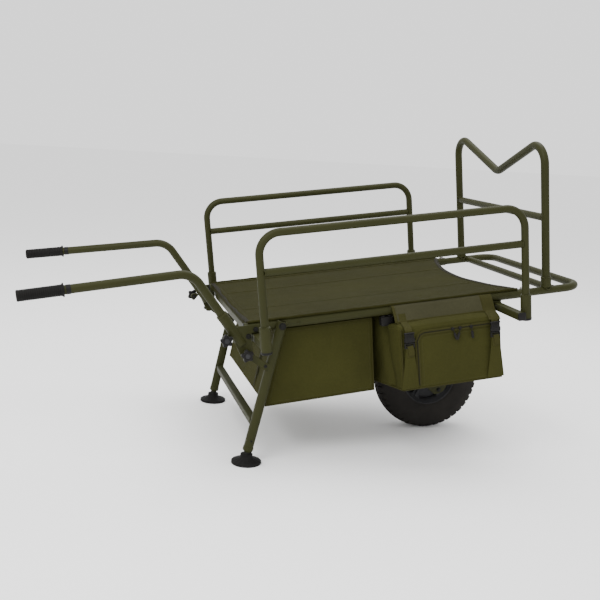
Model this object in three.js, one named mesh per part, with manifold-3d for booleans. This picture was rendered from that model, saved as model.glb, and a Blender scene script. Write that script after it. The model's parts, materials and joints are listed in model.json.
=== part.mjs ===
// Single-wheel load barrow for anglers: a tube deck on one pneumatic wheel and two telescopic legs.
// Millimetres, +Z up, +X towards the wheel end, +Y to the left of someone pushing it.
// The deck frame has axes of its own (x along the side tubes, z square to the deck) and stands nose-up.
import * as THREE from 'three';
import { mergeVertices } from 'three/addons/utils/BufferGeometryUtils.js';
import Module from 'manifold-3d';

const wasm = await Module();
wasm.setup();

const vec = (x, y, z) => new THREE.Vector3(x, y, z);
const degrees = (angle) => angle * Math.PI / 180;

// ---- driving dimensions -------------------------------------------------------------------------
const GAP = 0.3; // between pieces that touch
const TUBE_SIDES = 12;
const SIDES = [['left', 1], ['right', -1]];

const DECK_PITCH = degrees(7.68); // nose-up lean of the deck on level ground
const ORIGIN_X = -217.3; // centres the bounding box on x = 0
const WHEEL_CENTRE = vec(707, 0, -361);
const TYRE_RADIUS = 200;
const TYRE_WIDTH = 95;
const RIM_RADIUS = 102;
const WHEEL_FACETS = 36;
const HUB = { radius: 26, bore: 18, half: 32, web: 8, ribs: 5 };
const BEARING_WIDTH = 11;
const AXLE = { radius: 7.5, half: 96, spacer: 11, nutRadius: 14, nutHeight: 10.7 };
const FORK = {
  y: 68, radius: 11, wall: 1.5, corner: -388, bend: 45, plateThickness: 5,
  plate: [[672, -318], [742, -318], [765, -392], [748, -414], [715, -422], [690, -396]],
};

const SIDE = { y: 350, z: -4, radius: 15.5, bore: 14.2, rear: -36, front: 950 };
const DECK_TOP = SIDE.z + SIDE.radius + GAP;
const REAR_DECK_TUBE = { x: -13, radius: 12.5, bore: 11 };
const CLAMP_BOLT = { x: 934, shank: 3.7, head: 7.5, headHeight: 6, depth: 2 };
const CROSS = { size: 30, wall: 2, reach: 363.5, z: SIDE.z - SIDE.radius - GAP - 15 };
const WHEEL_CROSS_X = 545;

const POST = { x: [0, 864], y: 509, radius: 12.5, wall: 1.5 };
const SOCKET = { radius: 17.5, bore: 13.3, top: 28, floor: 5 };
const OUTRIGGER = { size: 25, inner: 190, outer: 533, cap: 8, capSize: 26.5, offset: 29 };
const RAIL = { top: 313, mid: 196, bend: 66 };

const HANDLE = {
  radius: 14, wall: 1.5, y: 360, bend: 72, lean: degrees(60.4), footZ: -49,
  corner: { x: -192, z: 191 }, end: vec(-698, 430.2, 191),
};
const SLEEVE = { radius: 17.8, bore: 14.6, top: 45, bottom: -55 };
const PINCH = { z: -14.2, reach: 28, radius: 11, thickness: 14 }; // lug behind the sleeve, for its clamp knob
const GRIP = { length: 130, radius: 17.5, flange: 21.5, bore: 14.7, wall: 6 };
const PLATE = {
  inner: 365.8, thickness: 5,
  outline: [[-84, -6], [-58, 8], [12, 8], [12, -18], [-17, -18], [-17, -60], [-16, -97], [-54, -97],
    [-66, -60]], // notched round the rear outrigger
};
const KNOB = { radius: 21, thickness: 15, stem: 4, lobes: 5, reach: 14 };

const LEG = {
  y: 371, radius: 16, bore: 12.6, length: 424, above: 14, solidTop: 70, pivotX: 81.7, pivotZ: -5.5,
  lean: degrees(18.6), splay: degrees(3.6), // back and inwards, from top to bottom
};
const LEG_BOLT = { radius: 5.7, head: 11, headHeight: 6 };
const LEG_BRACE = { size: 25, wall: 2, along: 339 };
const STRUT = { topX: -40, topZ: -82, footX: 22, footZ: -134, thickness: 6 };
const INNER_LEG = { radius: 11, insert: 230 };
const FOOT = { radius: 50, pivotHeight: 30, ball: 13, cup: 14.2 };

const EXTENSION = { radius: 13.5, wall: 1.5, front: 1157, bend: 60, inside: 700, crossX: 1051 };
const V_FRAME = { x: 1025, y: 349, radius: 14, wall: 1.5, cross: 246, dip: 382, shoulder: 514, bend: 62 };
const V_SOCKET = { radius: 17.5, bore: 14.7, top: 40, floor: 12 };
const CROSS_BAR = { radius: 12.5, bore: 11 }; // in the extension and in the V frame

const DECK_FABRIC = { rear: -27, corner: 915, middle: 845, y: 350, thickness: 2.5 };
const UNDER_BAG = { half: 334, outline: [[92, -24], [400, -24], [396, -280], [12, -284]] };
const SIDE_BAG = {
  x0: 455, x1: 812,
  pouch: [[-240, -56], [-364.5, -56], [-368, -14], [-430, -48], [-440, -262], [-250, -268]],
  flap: [[-367, 9], [-367, -13], [-431, -47], [-434, -40]],
};
const BUCKLE = { width: 32, thickness: 9, height: 50, y: -440, z: -88, fromRear: 28, fromFront: 27 };

// ---- looks --------------------------------------------------------------------------------------
const looks = {
  frame: new THREE.MeshStandardMaterial({ color: 0x3b3a24, roughness: 0.5, metalness: 0.2 }),
  fabric: new THREE.MeshStandardMaterial({ color: 0x3a3a22, roughness: 0.9, metalness: 0 }),
  bagFabric: new THREE.MeshStandardMaterial({ color: 0x3c3d20, roughness: 0.9, metalness: 0 }),
  plastic: new THREE.MeshStandardMaterial({ color: 0x1f1f1f, roughness: 0.55, metalness: 0 }),
  rubber: new THREE.MeshStandardMaterial({ color: 0x232323, roughness: 0.85, metalness: 0 }),
  steel: new THREE.MeshStandardMaterial({ color: 0x9a9a98, roughness: 0.3, metalness: 1 }),
};

// ---- scene graph --------------------------------------------------------------------------------
const cart = new THREE.Group();
const deck = new THREE.Group(); // holds what is measured in the deck frame
deck.rotation.y = -DECK_PITCH;
const hubHeight = TYRE_RADIUS * Math.cos(Math.PI / WHEEL_FACETS);
const hubRise = WHEEL_CENTRE.x * Math.sin(DECK_PITCH) + WHEEL_CENTRE.z * Math.cos(DECK_PITCH);
deck.position.set(ORIGIN_X, 0, hubHeight - hubRise);
cart.add(deck);
cart.updateMatrixWorld(true);

// ---- solids -------------------------------------------------------------------------------------
// Keeps only merged positions, drops collapsed triangles and turns the faces outwards.
function closed(geometry) {
  let bare = geometry.clone();
  bare.deleteAttribute('normal');
  bare.deleteAttribute('uv');
  bare = mergeVertices(bare, 1e-3);
  const at = bare.attributes.position;
  const index = [...bare.index.array];
  const triangles = [];
  let volume = 0;
  for (let i = 0; i < index.length; i += 3) {
    const [a, b, c] = index.slice(i, i + 3);
    if (a === b || b === c || c === a) continue;
    triangles.push([a, b, c]);
    const [p, q, r] = [a, b, c].map((k) => new THREE.Vector3().fromBufferAttribute(at, k));
    volume += p.dot(q.cross(r));
  }
  bare.setIndex((volume < 0 ? triangles.map(([a, b, c]) => [a, c, b]) : triangles).flat());
  return bare;
}

function solid(geometry) {
  const bare = closed(geometry);
  return new wasm.Manifold(new wasm.Mesh({
    numProp: 3,
    vertProperties: new Float32Array(bare.attributes.position.array),
    triVerts: new Uint32Array(bare.index.array),
  }));
}

function geometryOf(body) {
  const mesh = body.getMesh();
  const geometry = new THREE.BufferGeometry();
  geometry.setAttribute('position', new THREE.BufferAttribute(mesh.vertProperties, 3));
  geometry.setIndex(new THREE.BufferAttribute(mesh.triVerts, 1));
  return geometry;
}

const join = (first, ...rest) => geometryOf(
  rest.reduce((sum, next) => sum.add(solid(next)), solid(first)));
const cut = (first, ...rest) => geometryOf(
  rest.reduce((left, next) => left.subtract(solid(next)), solid(first)));

// A centre line through corner points, each corner rounded to the bend radius by a circular arc.
class Route extends THREE.Curve {
  constructor(corners, bend = 0, arcSteps = 5) {
    super();
    this.points = [corners[0]];
    this.tangents = [corners[1].clone().sub(corners[0]).normalize()];
    for (let i = 1; i < corners.length - 1; i += 1) {
      this.addBend(corners[i - 1], corners[i], corners[i + 1], bend, arcSteps);
    }
    const last = corners.length - 1;
    this.points.push(corners[last]);
    this.tangents.push(corners[last].clone().sub(corners[last - 1]).normalize());
  }

  addBend(before, corner, after, bend, arcSteps) {
    const into = corner.clone().sub(before).normalize();
    const out = after.clone().sub(corner).normalize();
    const turn = into.angleTo(out);
    const start = corner.clone().addScaledVector(into, -bend * Math.tan(turn / 2));
    const sideways = out.clone().addScaledVector(into, -into.dot(out)).normalize();
    for (let k = 0; k <= arcSteps; k += 1) {
      const a = turn * k / arcSteps;
      this.points.push(start.clone()
        .addScaledVector(into, bend * Math.sin(a))
        .addScaledVector(sideways, bend * (1 - Math.cos(a))));
      this.tangents.push(into.clone().multiplyScalar(Math.cos(a)).addScaledVector(sideways, Math.sin(a)));
    }
  }

  get steps() { return this.points.length - 1; }
  getPointAt(u) { return this.points[Math.round(u * this.steps)].clone(); }
  getTangentAt(u) { return this.tangents[Math.round(u * this.steps)].clone(); }
}

const line = (from, to) => new Route([from, to]);

function circle(radius, sides = TUBE_SIDES) {
  return Array.from({ length: sides }, (_, k) => {
    const a = (k + 0.5) * 2 * Math.PI / sides;
    return new THREE.Vector2(radius * Math.cos(a), radius * Math.sin(a));
  });
}

function square(size, corner = 2) {
  const h = size / 2;
  const c = h - corner;
  return [[h, -c], [h, c], [c, h], [-c, h], [-h, c], [-h, -c], [-c, -h], [c, -h]]
    .map(([x, y]) => new THREE.Vector2(x, y));
}

function swept(outline, route, hole = null) {
  const section = new THREE.Shape(outline);
  if (hole) section.holes.push(new THREE.Path(hole));
  return new THREE.ExtrudeGeometry(section, { steps: route.steps, extrudePath: route, bevelEnabled: false });
}

const roundBar = (radius, route) => swept(circle(radius), route);
const roundTube = (radius, bore, route) => swept(circle(radius), route, circle(bore));

// A turned piece: (radius, distance) pairs around an axis that starts at a point.
function turned(profile, at, axis, facets = 24, start = 0) {
  const points = profile.map(([radius, distance]) => new THREE.Vector2(radius, distance));
  const geometry = new THREE.LatheGeometry(points, facets, start);
  geometry.applyQuaternion(new THREE.Quaternion().setFromUnitVectors(vec(0, 1, 0), axis));
  return geometry.translate(at.x, at.y, at.z);
}

// A bolt with its head standing on a face at a point, along the axis.
function boltGeometry(shank, depth, head, headHeight, at, axis, facets) {
  return turned(
    [[0, -depth], [shank, -depth], [shank, 0], [head, 0], [head, headHeight], [0, headHeight]],
    at, axis, facets);
}

// A flat plate: an outline of (x, z) points, its thickness running along +Y from y.
function plateXZ(outline, y, thickness) {
  const shape = new THREE.Shape(outline.map(([x, z]) => new THREE.Vector2(x, z)));
  const geometry = new THREE.ExtrudeGeometry(shape, { depth: thickness, bevelEnabled: false });
  return geometry.rotateX(Math.PI / 2).translate(0, y + thickness, 0);
}

// A block whose (y, z) outline runs along +X.
function blockYZ(outline, x0, x1) {
  const shape = new THREE.Shape(outline.map(([y, z]) => new THREE.Vector2(y, z)));
  const geometry = new THREE.ExtrudeGeometry(shape, { depth: x1 - x0, bevelEnabled: false });
  const turn = new THREE.Matrix4().makeBasis(vec(0, 1, 0), vec(0, 0, 1), vec(1, 0, 0));
  return geometry.applyMatrix4(turn).translate(x0, 0, 0);
}

function addPiece(parent, name, geometry, look) {
  const mesh = new THREE.Mesh(closed(geometry), looks[look]);
  mesh.name = name;
  parent.add(mesh);
}

// ---- deck frame ---------------------------------------------------------------------------------
function addDeckFrame() {
  for (const [side, s] of SIDES) {
    const run = line(vec(SIDE.rear, s * SIDE.y, SIDE.z), vec(SIDE.front, s * SIDE.y, SIDE.z));
    const boltHole = roundBar(CLAMP_BOLT.shank + GAP, line(
      vec(CLAMP_BOLT.x, s * SIDE.y, SIDE.z), vec(CLAMP_BOLT.x, s * SIDE.y, DECK_TOP + 5)));
    addPiece(deck, `${side}_side_tube`, cut(roundTube(SIDE.radius, SIDE.bore, run), boltHole), 'frame');
    addPiece(deck, `${side}_clamp_bolt`, boltGeometry(
      CLAMP_BOLT.shank, CLAMP_BOLT.depth, CLAMP_BOLT.head, CLAMP_BOLT.headHeight,
      vec(CLAMP_BOLT.x, s * SIDE.y, DECK_TOP), vec(0, 0, 1), 6), 'steel');
  }
  const rearZ = SIDE.z + SIDE.radius - REAR_DECK_TUBE.radius;
  const rearY = SIDE.y - SIDE.radius - GAP;
  const rear = line(vec(REAR_DECK_TUBE.x, -rearY, rearZ), vec(REAR_DECK_TUBE.x, rearY, rearZ));
  addPiece(deck, 'rear_deck_tube', roundTube(REAR_DECK_TUBE.radius, REAR_DECK_TUBE.bore, rear), 'frame');

  const crossTubes = {
    rear_cross_tube: POST.x[0],
    wheel_cross_tube: WHEEL_CROSS_X,
    front_cross_tube: POST.x[1] - OUTRIGGER.offset,
  };
  for (const [name, x] of Object.entries(crossTubes)) {
    const run = line(vec(x, -CROSS.reach, CROSS.z), vec(x, CROSS.reach, CROSS.z));
    addPiece(deck, name, swept(square(CROSS.size), run, square(CROSS.size - 2 * CROSS.wall)), 'frame');
  }
}

// ---- rail outriggers and side rails -------------------------------------------------------------
// The rear arms end at their sockets; the front arms run past the posts, behind them, and are capped.
function addOutriggers() {
  const frontX = POST.x[1] - OUTRIGGER.offset;
  const ends = [['rear', POST.x[0], POST.x[0], POST.y], ['front', POST.x[1], frontX, OUTRIGGER.outer]];
  const bottom = CROSS.z - OUTRIGGER.size / 2;
  for (const [side, s] of SIDES) {
    for (const [end, postX, x, outer] of ends) {
      const arm = line(vec(x, s * OUTRIGGER.inner, CROSS.z), vec(x, s * outer, CROSS.z));
      const upright = (z0, z1) => line(vec(postX, s * POST.y, z0), vec(postX, s * POST.y, z1));
      const socket = roundBar(SOCKET.radius, upright(bottom, SOCKET.top));
      const bore = roundBar(SOCKET.bore, upright(bottom + SOCKET.floor, SOCKET.top + 1));
      const outrigger = cut(join(swept(square(OUTRIGGER.size), arm), socket), bore);
      addPiece(deck, `${side}_${end}_outrigger`, outrigger, 'frame');
    }
    const capY = OUTRIGGER.outer + GAP;
    const cap = line(vec(frontX, s * capY, CROSS.z), vec(frontX, s * (capY + OUTRIGGER.cap), CROSS.z));
    addPiece(deck, `${side}_front_outrigger_cap`, swept(square(OUTRIGGER.capSize, 4), cap), 'plastic');
  }
}

function addSideRails() {
  const foot = CROSS.z - OUTRIGGER.size / 2 + SOCKET.floor + GAP;
  const bore = POST.radius - POST.wall;
  for (const [side, s] of SIDES) {
    const [x0, x1] = POST.x;
    const y = s * POST.y;
    const corners = [[x0, foot], [x0, RAIL.top], [x1, RAIL.top], [x1, foot]];
    const hoop = new Route(corners.map(([x, z]) => vec(x, y, z)), RAIL.bend);
    addPiece(deck, `${side}_rail_hoop`, roundTube(POST.radius, bore, hoop), 'frame');
    const inset = POST.radius + GAP;
    const mid = line(vec(x0 + inset, y, RAIL.mid), vec(x1 - inset, y, RAIL.mid));
    addPiece(deck, `${side}_rail_mid_bar`, roundTube(POST.radius, bore, mid), 'frame');
  }
}

// ---- handles ------------------------------------------------------------------------------------
const sleeveDown = vec(Math.cos(HANDLE.lean), 0, -Math.sin(HANDLE.lean));
const sleeveBack = vec(-Math.sin(HANDLE.lean), 0, -Math.cos(HANDLE.lean));

// Point on the lower, sloping part of a handle at height z.
function onHandle(s, z) {
  const along = (HANDLE.corner.z - z) / Math.sin(HANDLE.lean);
  return vec(HANDLE.corner.x, s * HANDLE.y, HANDLE.corner.z).addScaledVector(sleeveDown, along);
}

const beyond = (from, axis, distance) => from.clone().addScaledVector(axis, distance);

function starKnob(at, axis, stem) {
  const count = KNOB.lobes * 6;
  const outline = Array.from({ length: count }, (_, k) => {
    const a = k * 2 * Math.PI / count;
    const r = KNOB.radius * (0.88 + 0.12 * Math.cos(KNOB.lobes * a));
    return new THREE.Vector2(r * Math.cos(a), r * Math.sin(a));
  });
  const head = swept(outline, line(at, beyond(at, axis, KNOB.thickness)));
  return join(head, roundBar(KNOB.stem, line(beyond(at, axis, -stem), beyond(at, axis, 1))));
}

function gripGeometry(end, out) {
  const inner = -GRIP.length;
  return turned([
    [0, GAP], [GRIP.bore, GAP], [GRIP.bore, inner], [GRIP.flange, inner], [GRIP.flange, inner + 4],
    [GRIP.radius, inner + 4], [GRIP.radius, GRIP.wall - 2], [GRIP.radius - 2, GRIP.wall], [0, GRIP.wall],
  ], end, out, TUBE_SIDES);
}

const pinchCentre = (s) => beyond(onHandle(s, PINCH.z), sleeveBack, PINCH.reach);

// Handle sleeve, corner plate and clamp lug, welded into one piece.
function bracketGeometry(s) {
  const sleeve = roundBar(SLEEVE.radius, line(onHandle(s, SLEEVE.top), onHandle(s, SLEEVE.bottom)));
  const bore = roundBar(SLEEVE.bore, line(onHandle(s, SLEEVE.top + 5), onHandle(s, SLEEVE.bottom - 5)));
  const root = onHandle(s, PINCH.z);
  const tip = pinchCentre(s);
  const lug = swept(square(PINCH.thickness, 1), line(root, tip));
  const acrossTip = (half) => line(vec(tip.x, tip.y - half, tip.z), vec(tip.x, tip.y + half, tip.z));
  const lugEye = roundBar(PINCH.radius, acrossTip(PINCH.thickness / 2));
  const lugHole = roundBar(KNOB.stem + 2 * GAP, acrossTip(PINCH.thickness));
  const plateY = s > 0 ? PLATE.inner : -PLATE.inner - PLATE.thickness;
  const plate = plateXZ(PLATE.outline, plateY, PLATE.thickness);
  return cut(join(sleeve, plate, lug, lugEye), bore, lugHole);
}

function addHandles() {
  for (const [side, s] of SIDES) {
    const bend = vec(HANDLE.corner.x, s * HANDLE.y, HANDLE.corner.z);
    const end = vec(HANDLE.end.x, s * HANDLE.end.y, HANDLE.end.z);
    const route = new Route([onHandle(s, HANDLE.footZ), bend, end], HANDLE.bend, 6);
    addPiece(deck, `${side}_handle`, roundTube(HANDLE.radius, HANDLE.radius - HANDLE.wall, route), 'frame');
    addPiece(deck, `${side}_grip`, gripGeometry(end, route.tangents[route.steps]), 'rubber');
    addPiece(deck, `${side}_handle_bracket`, bracketGeometry(s), 'frame');
    const out = vec(0, s, 0);
    const knobAt = beyond(pinchCentre(s), out, PINCH.thickness / 2 + KNOB.reach);
    addPiece(deck, `${side}_handle_knob`, starKnob(knobAt, out, KNOB.reach + PINCH.thickness), 'plastic');
  }
}

// ---- legs ---------------------------------------------------------------------------------------
const legDown = (s) => vec(-Math.tan(LEG.lean), -s * Math.tan(LEG.splay), -1).normalize();
const onLeg = (s, along) => beyond(vec(LEG.pivotX, s * LEG.y, LEG.pivotZ), legDown(s), along);

// Distance down the leg at which its centre line is the given height above the ground.
function legReach(height) {
  const start = deck.localToWorld(onLeg(1, 0)).z;
  const fall = start - deck.localToWorld(onLeg(1, 1)).z;
  return (start - height) / fall;
}

// The outer leg: bored for the inner leg, cut flat where it lies against the side tube.
function legGeometry(s) {
  const yoke = SIDE.y + SIDE.radius + GAP;
  const flat = new THREE.BoxGeometry(90, 40, 90).translate(LEG.pivotX, s * (yoke - 20), LEG.pivotZ - 5);
  const across = [SIDE.y, LEG.y + 2 * LEG.radius].map((y) => vec(LEG.pivotX, s * y, LEG.pivotZ));
  return cut(
    roundBar(LEG.radius, line(onLeg(s, -LEG.above), onLeg(s, LEG.length))),
    roundBar(LEG.bore, line(onLeg(s, LEG.solidTop), onLeg(s, LEG.length + 5))),
    flat,
    roundBar(LEG_BOLT.radius + 2 * GAP, line(...across)),
  );
}

function strutGeometry(s, y) {
  const top = vec(STRUT.topX, 0, STRUT.topZ);
  const foot = vec(STRUT.footX, 0, STRUT.footZ);
  const along = foot.clone().sub(top).normalize();
  const wide = vec(-along.z, 0, along.x);
  const corner = (from, a, w) => {
    const p = beyond(beyond(from, along, a), wide, w);
    return [p.x, p.z];
  };
  const outline = [corner(top, -11, -8), corner(top, -11, 8), corner(foot, -9, 12), corner(foot, -9, -12)];
  return plateXZ(outline, s > 0 ? y : -y - STRUT.thickness, STRUT.thickness);
}

// A round foot with its underside on the ground and a cup for the ball of the inner leg.
function footGeometry(pivot) {
  const cupTop = FOOT.pivotHeight + 3;
  const dish = turned([
    [0, 0], [FOOT.radius - 4, 0], [FOOT.radius, 4], [FOOT.radius, 9], [24, 19], [20, 22], [19, cupTop],
    [0, cupTop],
  ], vec(pivot.x, pivot.y, 0), vec(0, 0, 1));
  return cut(dish, new THREE.SphereGeometry(FOOT.cup, 16, 10).translate(pivot.x, pivot.y, pivot.z));
}

function addLegs() {
  const footAlong = legReach(FOOT.pivotHeight);
  const strutY = PLATE.inner + PLATE.thickness + GAP;
  for (const [side, s] of SIDES) {
    addPiece(deck, `${side}_leg`, legGeometry(s), 'frame');
    const outside = LEG.y + LEG.radius + GAP;
    const shank = outside - SIDE.y - SIDE.radius - 2 * GAP;
    addPiece(deck, `${side}_leg_pivot_bolt`, boltGeometry(
      LEG_BOLT.radius, shank, LEG_BOLT.head, LEG_BOLT.headHeight,
      vec(LEG.pivotX, s * outside, LEG.pivotZ), vec(0, s, 0), 12), 'steel');
    addPiece(deck, `${side}_lock_strut`, strutGeometry(s, strutY), 'frame');
    const knobY = strutY + STRUT.thickness + GAP + KNOB.reach;
    const knobAt = vec(STRUT.topX, s * knobY, STRUT.topZ);
    addPiece(deck, `${side}_leg_lock_knob`, starKnob(knobAt, vec(0, s, 0), KNOB.reach), 'plastic');

    const pivot = onLeg(s, footAlong);
    const ball = new THREE.SphereGeometry(FOOT.ball, 16, 10).translate(pivot.x, pivot.y, pivot.z);
    const upperEnd = onLeg(s, footAlong - INNER_LEG.insert);
    const shaft = roundBar(INNER_LEG.radius, line(upperEnd, pivot));
    addPiece(deck, `${side}_inner_leg`, join(shaft, ball), 'frame');
    addPiece(cart, `${side}_foot`, footGeometry(deck.localToWorld(pivot.clone())), 'rubber');
  }
  const brace = onLeg(1, LEG_BRACE.along);
  const reach = brace.y - LEG.radius - 2;
  const run = line(vec(brace.x, -reach, brace.z), vec(brace.x, reach, brace.z));
  const bore = square(LEG_BRACE.size - 2 * LEG_BRACE.wall, 1);
  addPiece(deck, 'leg_brace', swept(square(LEG_BRACE.size), run, bore), 'frame');
}

// ---- wheel --------------------------------------------------------------------------------------
function acrossWheel(profile, facets = 24, start = 0) {
  return turned(profile, WHEEL_CENTRE, vec(0, 1, 0), facets, start);
}

const mirrored = (pairs) => pairs.map(([radius, distance]) => [radius, -distance]).reverse();
const halfFacet = Math.PI / WHEEL_FACETS;

function tyreGeometry() {
  const half = TYRE_WIDTH / 2;
  const wall = 9;
  const outer = [[RIM_RADIUS, 33], [118, 43], [150, half], [178, 44], [192, 36], [TYRE_RADIUS, 22]];
  const inner = [[TYRE_RADIUS - wall, 20], [178, 44 - wall], [150, half - wall], [118, 34], [RIM_RADIUS, 24]];
  const ring = [...outer, ...mirrored(outer), ...mirrored(inner), ...inner, outer[0]];
  return acrossWheel(ring, WHEEL_FACETS, halfFacet + DECK_PITCH);
}

// A moulded wheel centre: hub, closed web, ribs, and a barrel with a lip on each edge.
function rimGeometry() {
  const barrel = [[RIM_RADIUS - 0.5, 37.3], [107, 37.3], [107, 40], [92, 40]];
  const ring = [...barrel, ...mirrored(barrel), barrel[0]];
  const hub = [[0, -HUB.half], [HUB.radius, -HUB.half], [HUB.radius, HUB.half], [0, HUB.half]];
  const web = [[0, -HUB.web / 2], [95, -HUB.web / 2], [95, HUB.web / 2], [0, HUB.web / 2]];
  const ribs = Array.from({ length: HUB.ribs }, (_, k) => new THREE.BoxGeometry(76, 16, 24)
    .translate(57, 0, 0).rotateY(k * 2 * Math.PI / HUB.ribs).translate(...WHEEL_CENTRE));
  const bore = [[0, -50], [HUB.bore, -50], [HUB.bore, 50], [0, 50]];
  const flatParts = [acrossWheel(hub), acrossWheel(web, WHEEL_FACETS), ...ribs];
  const wheel = join(acrossWheel(ring, WHEEL_FACETS, halfFacet), ...flatParts);
  return cut(wheel, acrossWheel(bore));
}

// One side of the fork: a tube bent to a V from the deck's cross tubes, with a plate that holds the axle.
function forkGeometry(s) {
  const y = s * FORK.y;
  const top = CROSS.z - CROSS.size / 2 - 6;
  const front = POST.x[1] - OUTRIGGER.offset;
  const corners = [[WHEEL_CROSS_X, top], [WHEEL_CENTRE.x, FORK.corner], [front, top]];
  const route = new Route(corners.map(([x, z]) => vec(x, y, z)), FORK.bend);
  const plate = plateXZ(FORK.plate, y - FORK.plateThickness / 2, FORK.plateThickness);
  const across = [y - 20, y + 20].map((end) => vec(WHEEL_CENTRE.x, end, WHEEL_CENTRE.z));
  const axleHole = roundBar(AXLE.radius + 2 * GAP, line(...across));
  return cut(join(roundTube(FORK.radius, FORK.radius - FORK.wall, route), plate), axleHole);
}

function addWheel() {
  addPiece(deck, 'tyre', tyreGeometry(), 'rubber');
  addPiece(deck, 'rim', rimGeometry(), 'plastic');
  const shoulder = HUB.half + GAP;
  const plateFace = FORK.y - FORK.radius - GAP;
  const half = [[AXLE.radius, shoulder], [AXLE.spacer, shoulder], [AXLE.spacer, plateFace],
    [AXLE.radius, plateFace], [AXLE.radius, AXLE.half], [0, AXLE.half]];
  addPiece(deck, 'axle', acrossWheel([...mirrored(half), ...half]), 'steel');
  for (const [side, s] of SIDES) {
    addPiece(deck, `${side}_fork_arm`, forkGeometry(s), 'frame');
    const [inner, outer] = [AXLE.radius + 0.2, HUB.bore - 0.5];
    const [deep, flush] = [s * (HUB.half - BEARING_WIDTH), s * HUB.half];
    const ring = [[inner, deep], [outer, deep], [outer, flush], [inner, flush], [inner, deep]];
    addPiece(deck, `${side}_bearing`, acrossWheel(ring), 'steel');
    const seat = s * (FORK.y + FORK.radius + GAP);
    const face = seat + s * AXLE.nutHeight;
    const post = (radius, y0, y1) => [[0, y0], [radius, y0], [radius, y1], [0, y1]];
    addPiece(deck, `${side}_axle_nut`, cut(
      acrossWheel(post(AXLE.nutRadius, seat, face), 6),
      acrossWheel(post(AXLE.radius + 2 * GAP, seat - s, face + s))), 'steel');
  }
}

// ---- front extension and rod rest ---------------------------------------------------------------
function extensionGeometry() {
  const corners = [[EXTENSION.inside, SIDE.y], [EXTENSION.front, SIDE.y], [EXTENSION.front, -SIDE.y],
    [EXTENSION.inside, -SIDE.y]].map(([x, y]) => vec(x, y, SIDE.z));
  const route = new Route(corners, EXTENSION.bend);
  const tube = roundTube(EXTENSION.radius, EXTENSION.radius - EXTENSION.wall, route);
  const upright = (s, z0, z1) => line(vec(V_FRAME.x, s * V_FRAME.y, z0), vec(V_FRAME.x, s * V_FRAME.y, z1));
  const seat = SIDE.z + EXTENSION.radius - 0.9;
  const sockets = SIDES.map(([, s]) => roundBar(V_SOCKET.radius, upright(s, seat, V_SOCKET.top)));
  const bores = SIDES.map(([, s]) => roundBar(V_SOCKET.bore, upright(s, V_SOCKET.floor, V_SOCKET.top + 1)));
  return cut(join(tube, ...sockets), ...bores);
}

function addExtension() {
  addPiece(deck, 'extension_tube', extensionGeometry(), 'frame');
  const crossY = SIDE.y - EXTENSION.radius - GAP;
  const cross = line(vec(EXTENSION.crossX, -crossY, SIDE.z), vec(EXTENSION.crossX, crossY, SIDE.z));
  addPiece(deck, 'extension_cross_bar', roundTube(CROSS_BAR.radius, CROSS_BAR.bore, cross), 'frame');

  const { x, y } = V_FRAME;
  const foot = V_SOCKET.floor + GAP;
  const outline = [[y, foot], [y, V_FRAME.shoulder], [0, V_FRAME.dip], [-y, V_FRAME.shoulder], [-y, foot]];
  const route = new Route(outline.map(([py, pz]) => vec(x, py, pz)), V_FRAME.bend, 6);
  addPiece(deck, 'v_frame', roundTube(V_FRAME.radius, V_FRAME.radius - V_FRAME.wall, route), 'frame');
  const barY = y - V_FRAME.radius - GAP;
  const bar = line(vec(x, -barY, V_FRAME.cross), vec(x, barY, V_FRAME.cross));
  addPiece(deck, 'v_frame_cross_bar', roundTube(CROSS_BAR.radius, CROSS_BAR.bore, bar), 'frame');
}

// ---- fabric -------------------------------------------------------------------------------------
function addFabric() {
  const { rear, corner, middle, y } = DECK_FABRIC;
  const sheet = new THREE.Shape([new THREE.Vector2(rear, -y), new THREE.Vector2(corner, -y)]);
  sheet.quadraticCurveTo(2 * middle - corner, 0, corner, y);
  sheet.lineTo(rear, y);
  addPiece(deck, 'deck_fabric', new THREE.ExtrudeGeometry(sheet, {
    depth: DECK_FABRIC.thickness, bevelEnabled: false, curveSegments: 12,
  }).translate(0, 0, DECK_TOP), 'fabric');

  const underBag = plateXZ(UNDER_BAG.outline, -UNDER_BAG.half, 2 * UNDER_BAG.half);
  addPiece(deck, 'under_bag', underBag, 'bagFabric');

  const { x0, x1, pouch, flap } = SIDE_BAG;
  addPiece(deck, 'side_bag', blockYZ(pouch, x0, x1), 'bagFabric');
  addPiece(deck, 'side_bag_flap', blockYZ(flap, x0 + 5, x1 - 2), 'fabric');
  const buckles = { rear_buckle: x0 + BUCKLE.fromRear, front_buckle: x1 - BUCKLE.fromFront };
  for (const [name, x] of Object.entries(buckles)) {
    const block = new THREE.BoxGeometry(BUCKLE.width, BUCKLE.thickness, BUCKLE.height);
    addPiece(deck, name, block.translate(x, BUCKLE.y, BUCKLE.z), 'plastic');
  }
}

addDeckFrame();
addOutriggers();
addSideRails();
addHandles();
addLegs();
addWheel();
addExtension();
addFabric();

export default cart;
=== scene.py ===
"""A single-wheel load barrow: painted tube frame, cloth deck, two bags, knobs, feet and a rubber tyre."""

import bpy
import json
import math
import numpy as np
from mathutils import Matrix, Vector

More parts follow.
